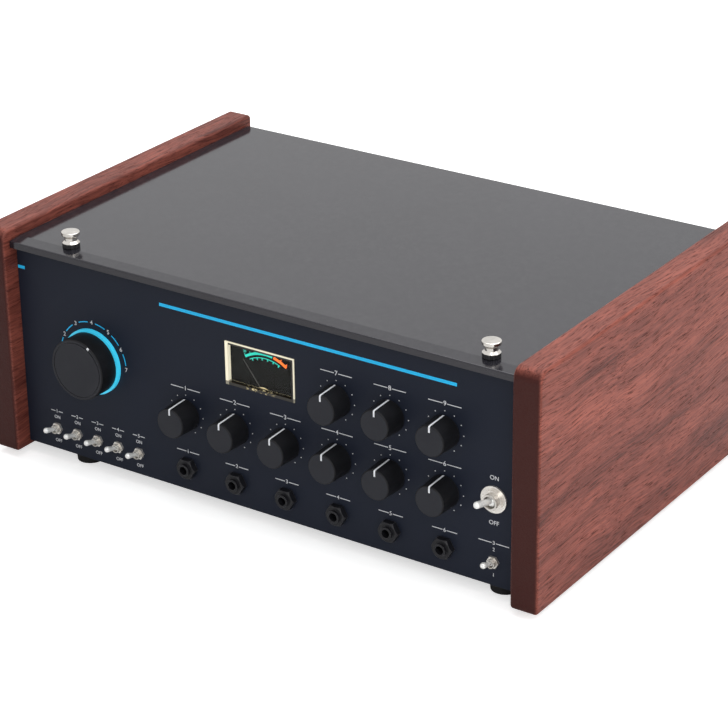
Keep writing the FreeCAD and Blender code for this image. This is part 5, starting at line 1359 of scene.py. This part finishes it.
class ECHO_OT_stage(PieceOperator, bpy.types.Operator):
    """Floor, lights, sky and camera"""

    bl_idname = "echo.stage"
    bl_label = "Set the stage"

    def execute(self, context):
        colours, _, lights = settings()
        bpy.ops.mesh.primitive_plane_add(size=30, location=(0, 0, 0))
        floor = bpy.context.object
        floor.name = "studio_floor"
        floor.data.materials.append(self.floor_material(colours.floor))
        self.add_light("top_light", (0.15, 0.25, 1.5), (0, 0, 0.1), 1.7, lights.top)
        self.add_light("side_light", (1.7, -0.1, 0.7), (0.1, 0, 0.1), 1.2, lights.side, mirrored=False)
        self.add_light("front_light", (0.85, -0.9, 0.75), (0.1, 0, 0.08), 0.7, lights.front)
        self.set_sky(lights.sky)
        self.add_camera()
        context.scene.view_settings.view_transform = "Standard"
        return {"FINISHED"}

    def seen_ray(self, tree):
        """1 for rays that the camera, a mirror or glass sends out, 0 for the rest."""
        path = node(tree, "LightPath").outputs
        seen = maths(tree, "MAXIMUM", path["Is Camera Ray"], path["Is Glossy Ray"])
        return maths(tree, "MAXIMUM", seen, path["Is Transmission Ray"])

    def floor_material(self, colour):
        material, tree, shader, place = new_material("Studio floor")
        cloud = node(tree, "TexNoise", Vector=place, Scale=3.0, Detail=2.0)
        direct = node(tree, "LightPath").outputs["Is Camera Ray"]
        fill(
            tree,
            shader,
            Base_Color=blend(tree, cloud.outputs["Fac"], shades(colour, 0.99), colour),
            Roughness=0.9,
            Specular_IOR_Level=0.1,
            Emission_Color=WHITE,
            Emission_Strength=maths(tree, "MULTIPLY", direct, 0.6),
        )
        return material

    def add_light(self, name, place, target, size, power, mirrored=True):
        """A square lamp that the camera doesn't see, and that gloss shows unless it isn't mirrored."""
        bpy.ops.object.light_add(type="AREA", location=place)
        light = bpy.context.object
        light.name = name
        light.data.shape = "SQUARE"
        light.data.size = size
        light.data.energy = power
        aim = Vector(target) - Vector(place)
        light.rotation_euler = aim.to_track_quat("-Z", "Y").to_euler()
        light.visible_camera = False
        light.visible_glossy = mirrored

    def set_sky(self, strength):
        world = bpy.data.worlds.new("Studio sky")
        world.use_nodes = True
        tree = world.node_tree
        level = maths(tree, "MULTIPLY_ADD", self.seen_ray(tree), 1 - strength, strength)
        fill(tree, tree.nodes["Background"], Color=WHITE, Strength=level)
        bpy.context.scene.world = world

    def add_camera(self):
        """The photograph's viewpoint: right of the middle, looking down on the front."""
        level_reach = math.cos(CAMERA_PITCH)
        forward = Vector(
            (-math.sin(CAMERA_YAW) * level_reach, math.cos(CAMERA_YAW) * level_reach, -math.sin(CAMERA_PITCH))
        )
        right = Vector((math.cos(CAMERA_YAW), math.sin(CAMERA_YAW), 0))
        up = right.cross(forward)
        right_rolled = right * math.cos(CAMERA_ROLL) + up * math.sin(CAMERA_ROLL)
        up_rolled = up * math.cos(CAMERA_ROLL) - right * math.sin(CAMERA_ROLL)
        bpy.ops.object.camera_add()
        camera = bpy.context.object
        camera.name = "photo_camera"
        camera.data.lens = CAMERA_LENS
        camera.data.sensor_width = CAMERA_FILM
        camera.data.clip_start = 0.05
        camera.data.clip_end = 60
        turn = Matrix((right_rolled, up_rolled, -forward)).transposed().to_4x4()
        camera.matrix_world = Matrix.Translation(spot(*CAMERA_PLACE)) @ turn
        bpy.context.scene.camera = camera


class ECHO_PT_panel(bpy.types.Panel):
    """Lists the unit's finishes and stages"""

    bl_label = "Tape echo unit"
    bl_idname = "ECHO_PT_panel"
    bl_space_type = "VIEW_3D"
    bl_region_type = "UI"
    bl_category = "Tape Echo"

    def draw(self, context):
        for step in STEPS:
            self.layout.operator(step.bl_idname)
        for group in ("echo_colours", "echo_sizes", "echo_lights"):
            values = getattr(context.scene, group)
            box = self.layout.box()
            for name in values.__annotations__:
                box.prop(values, name)


STEPS = (
    ECHO_OT_cheeks,
    ECHO_OT_case,
    ECHO_OT_panel,
    ECHO_OT_knobs,
    ECHO_OT_switches,
    ECHO_OT_jacks,
    ECHO_OT_meter,
    ECHO_OT_thumbscrews,
    ECHO_OT_deck,
    ECHO_OT_electronics,
    ECHO_OT_stage,
)
GROUPS = (EchoColours, EchoSizes, EchoLights)


def register():
    for item in (*GROUPS, *STEPS, ECHO_PT_panel):
        bpy.utils.register_class(item)
    bpy.types.Scene.echo_colours = PointerProperty(type=EchoColours)
    bpy.types.Scene.echo_sizes = PointerProperty(type=EchoSizes)
    bpy.types.Scene.echo_lights = PointerProperty(type=EchoLights)


def unregister():
    for name in ("echo_colours", "echo_sizes", "echo_lights"):
        delattr(bpy.types.Scene, name)
    for item in reversed((*GROUPS, *STEPS, ECHO_PT_panel)):
        bpy.utils.unregister_class(item)


def main():
    register()
    for step in STEPS:
        group, name = step.bl_idname.split(".")
        deselect()
        getattr(getattr(bpy.ops, group), name)()
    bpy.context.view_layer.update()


if __name__ == "__main__":
    main()
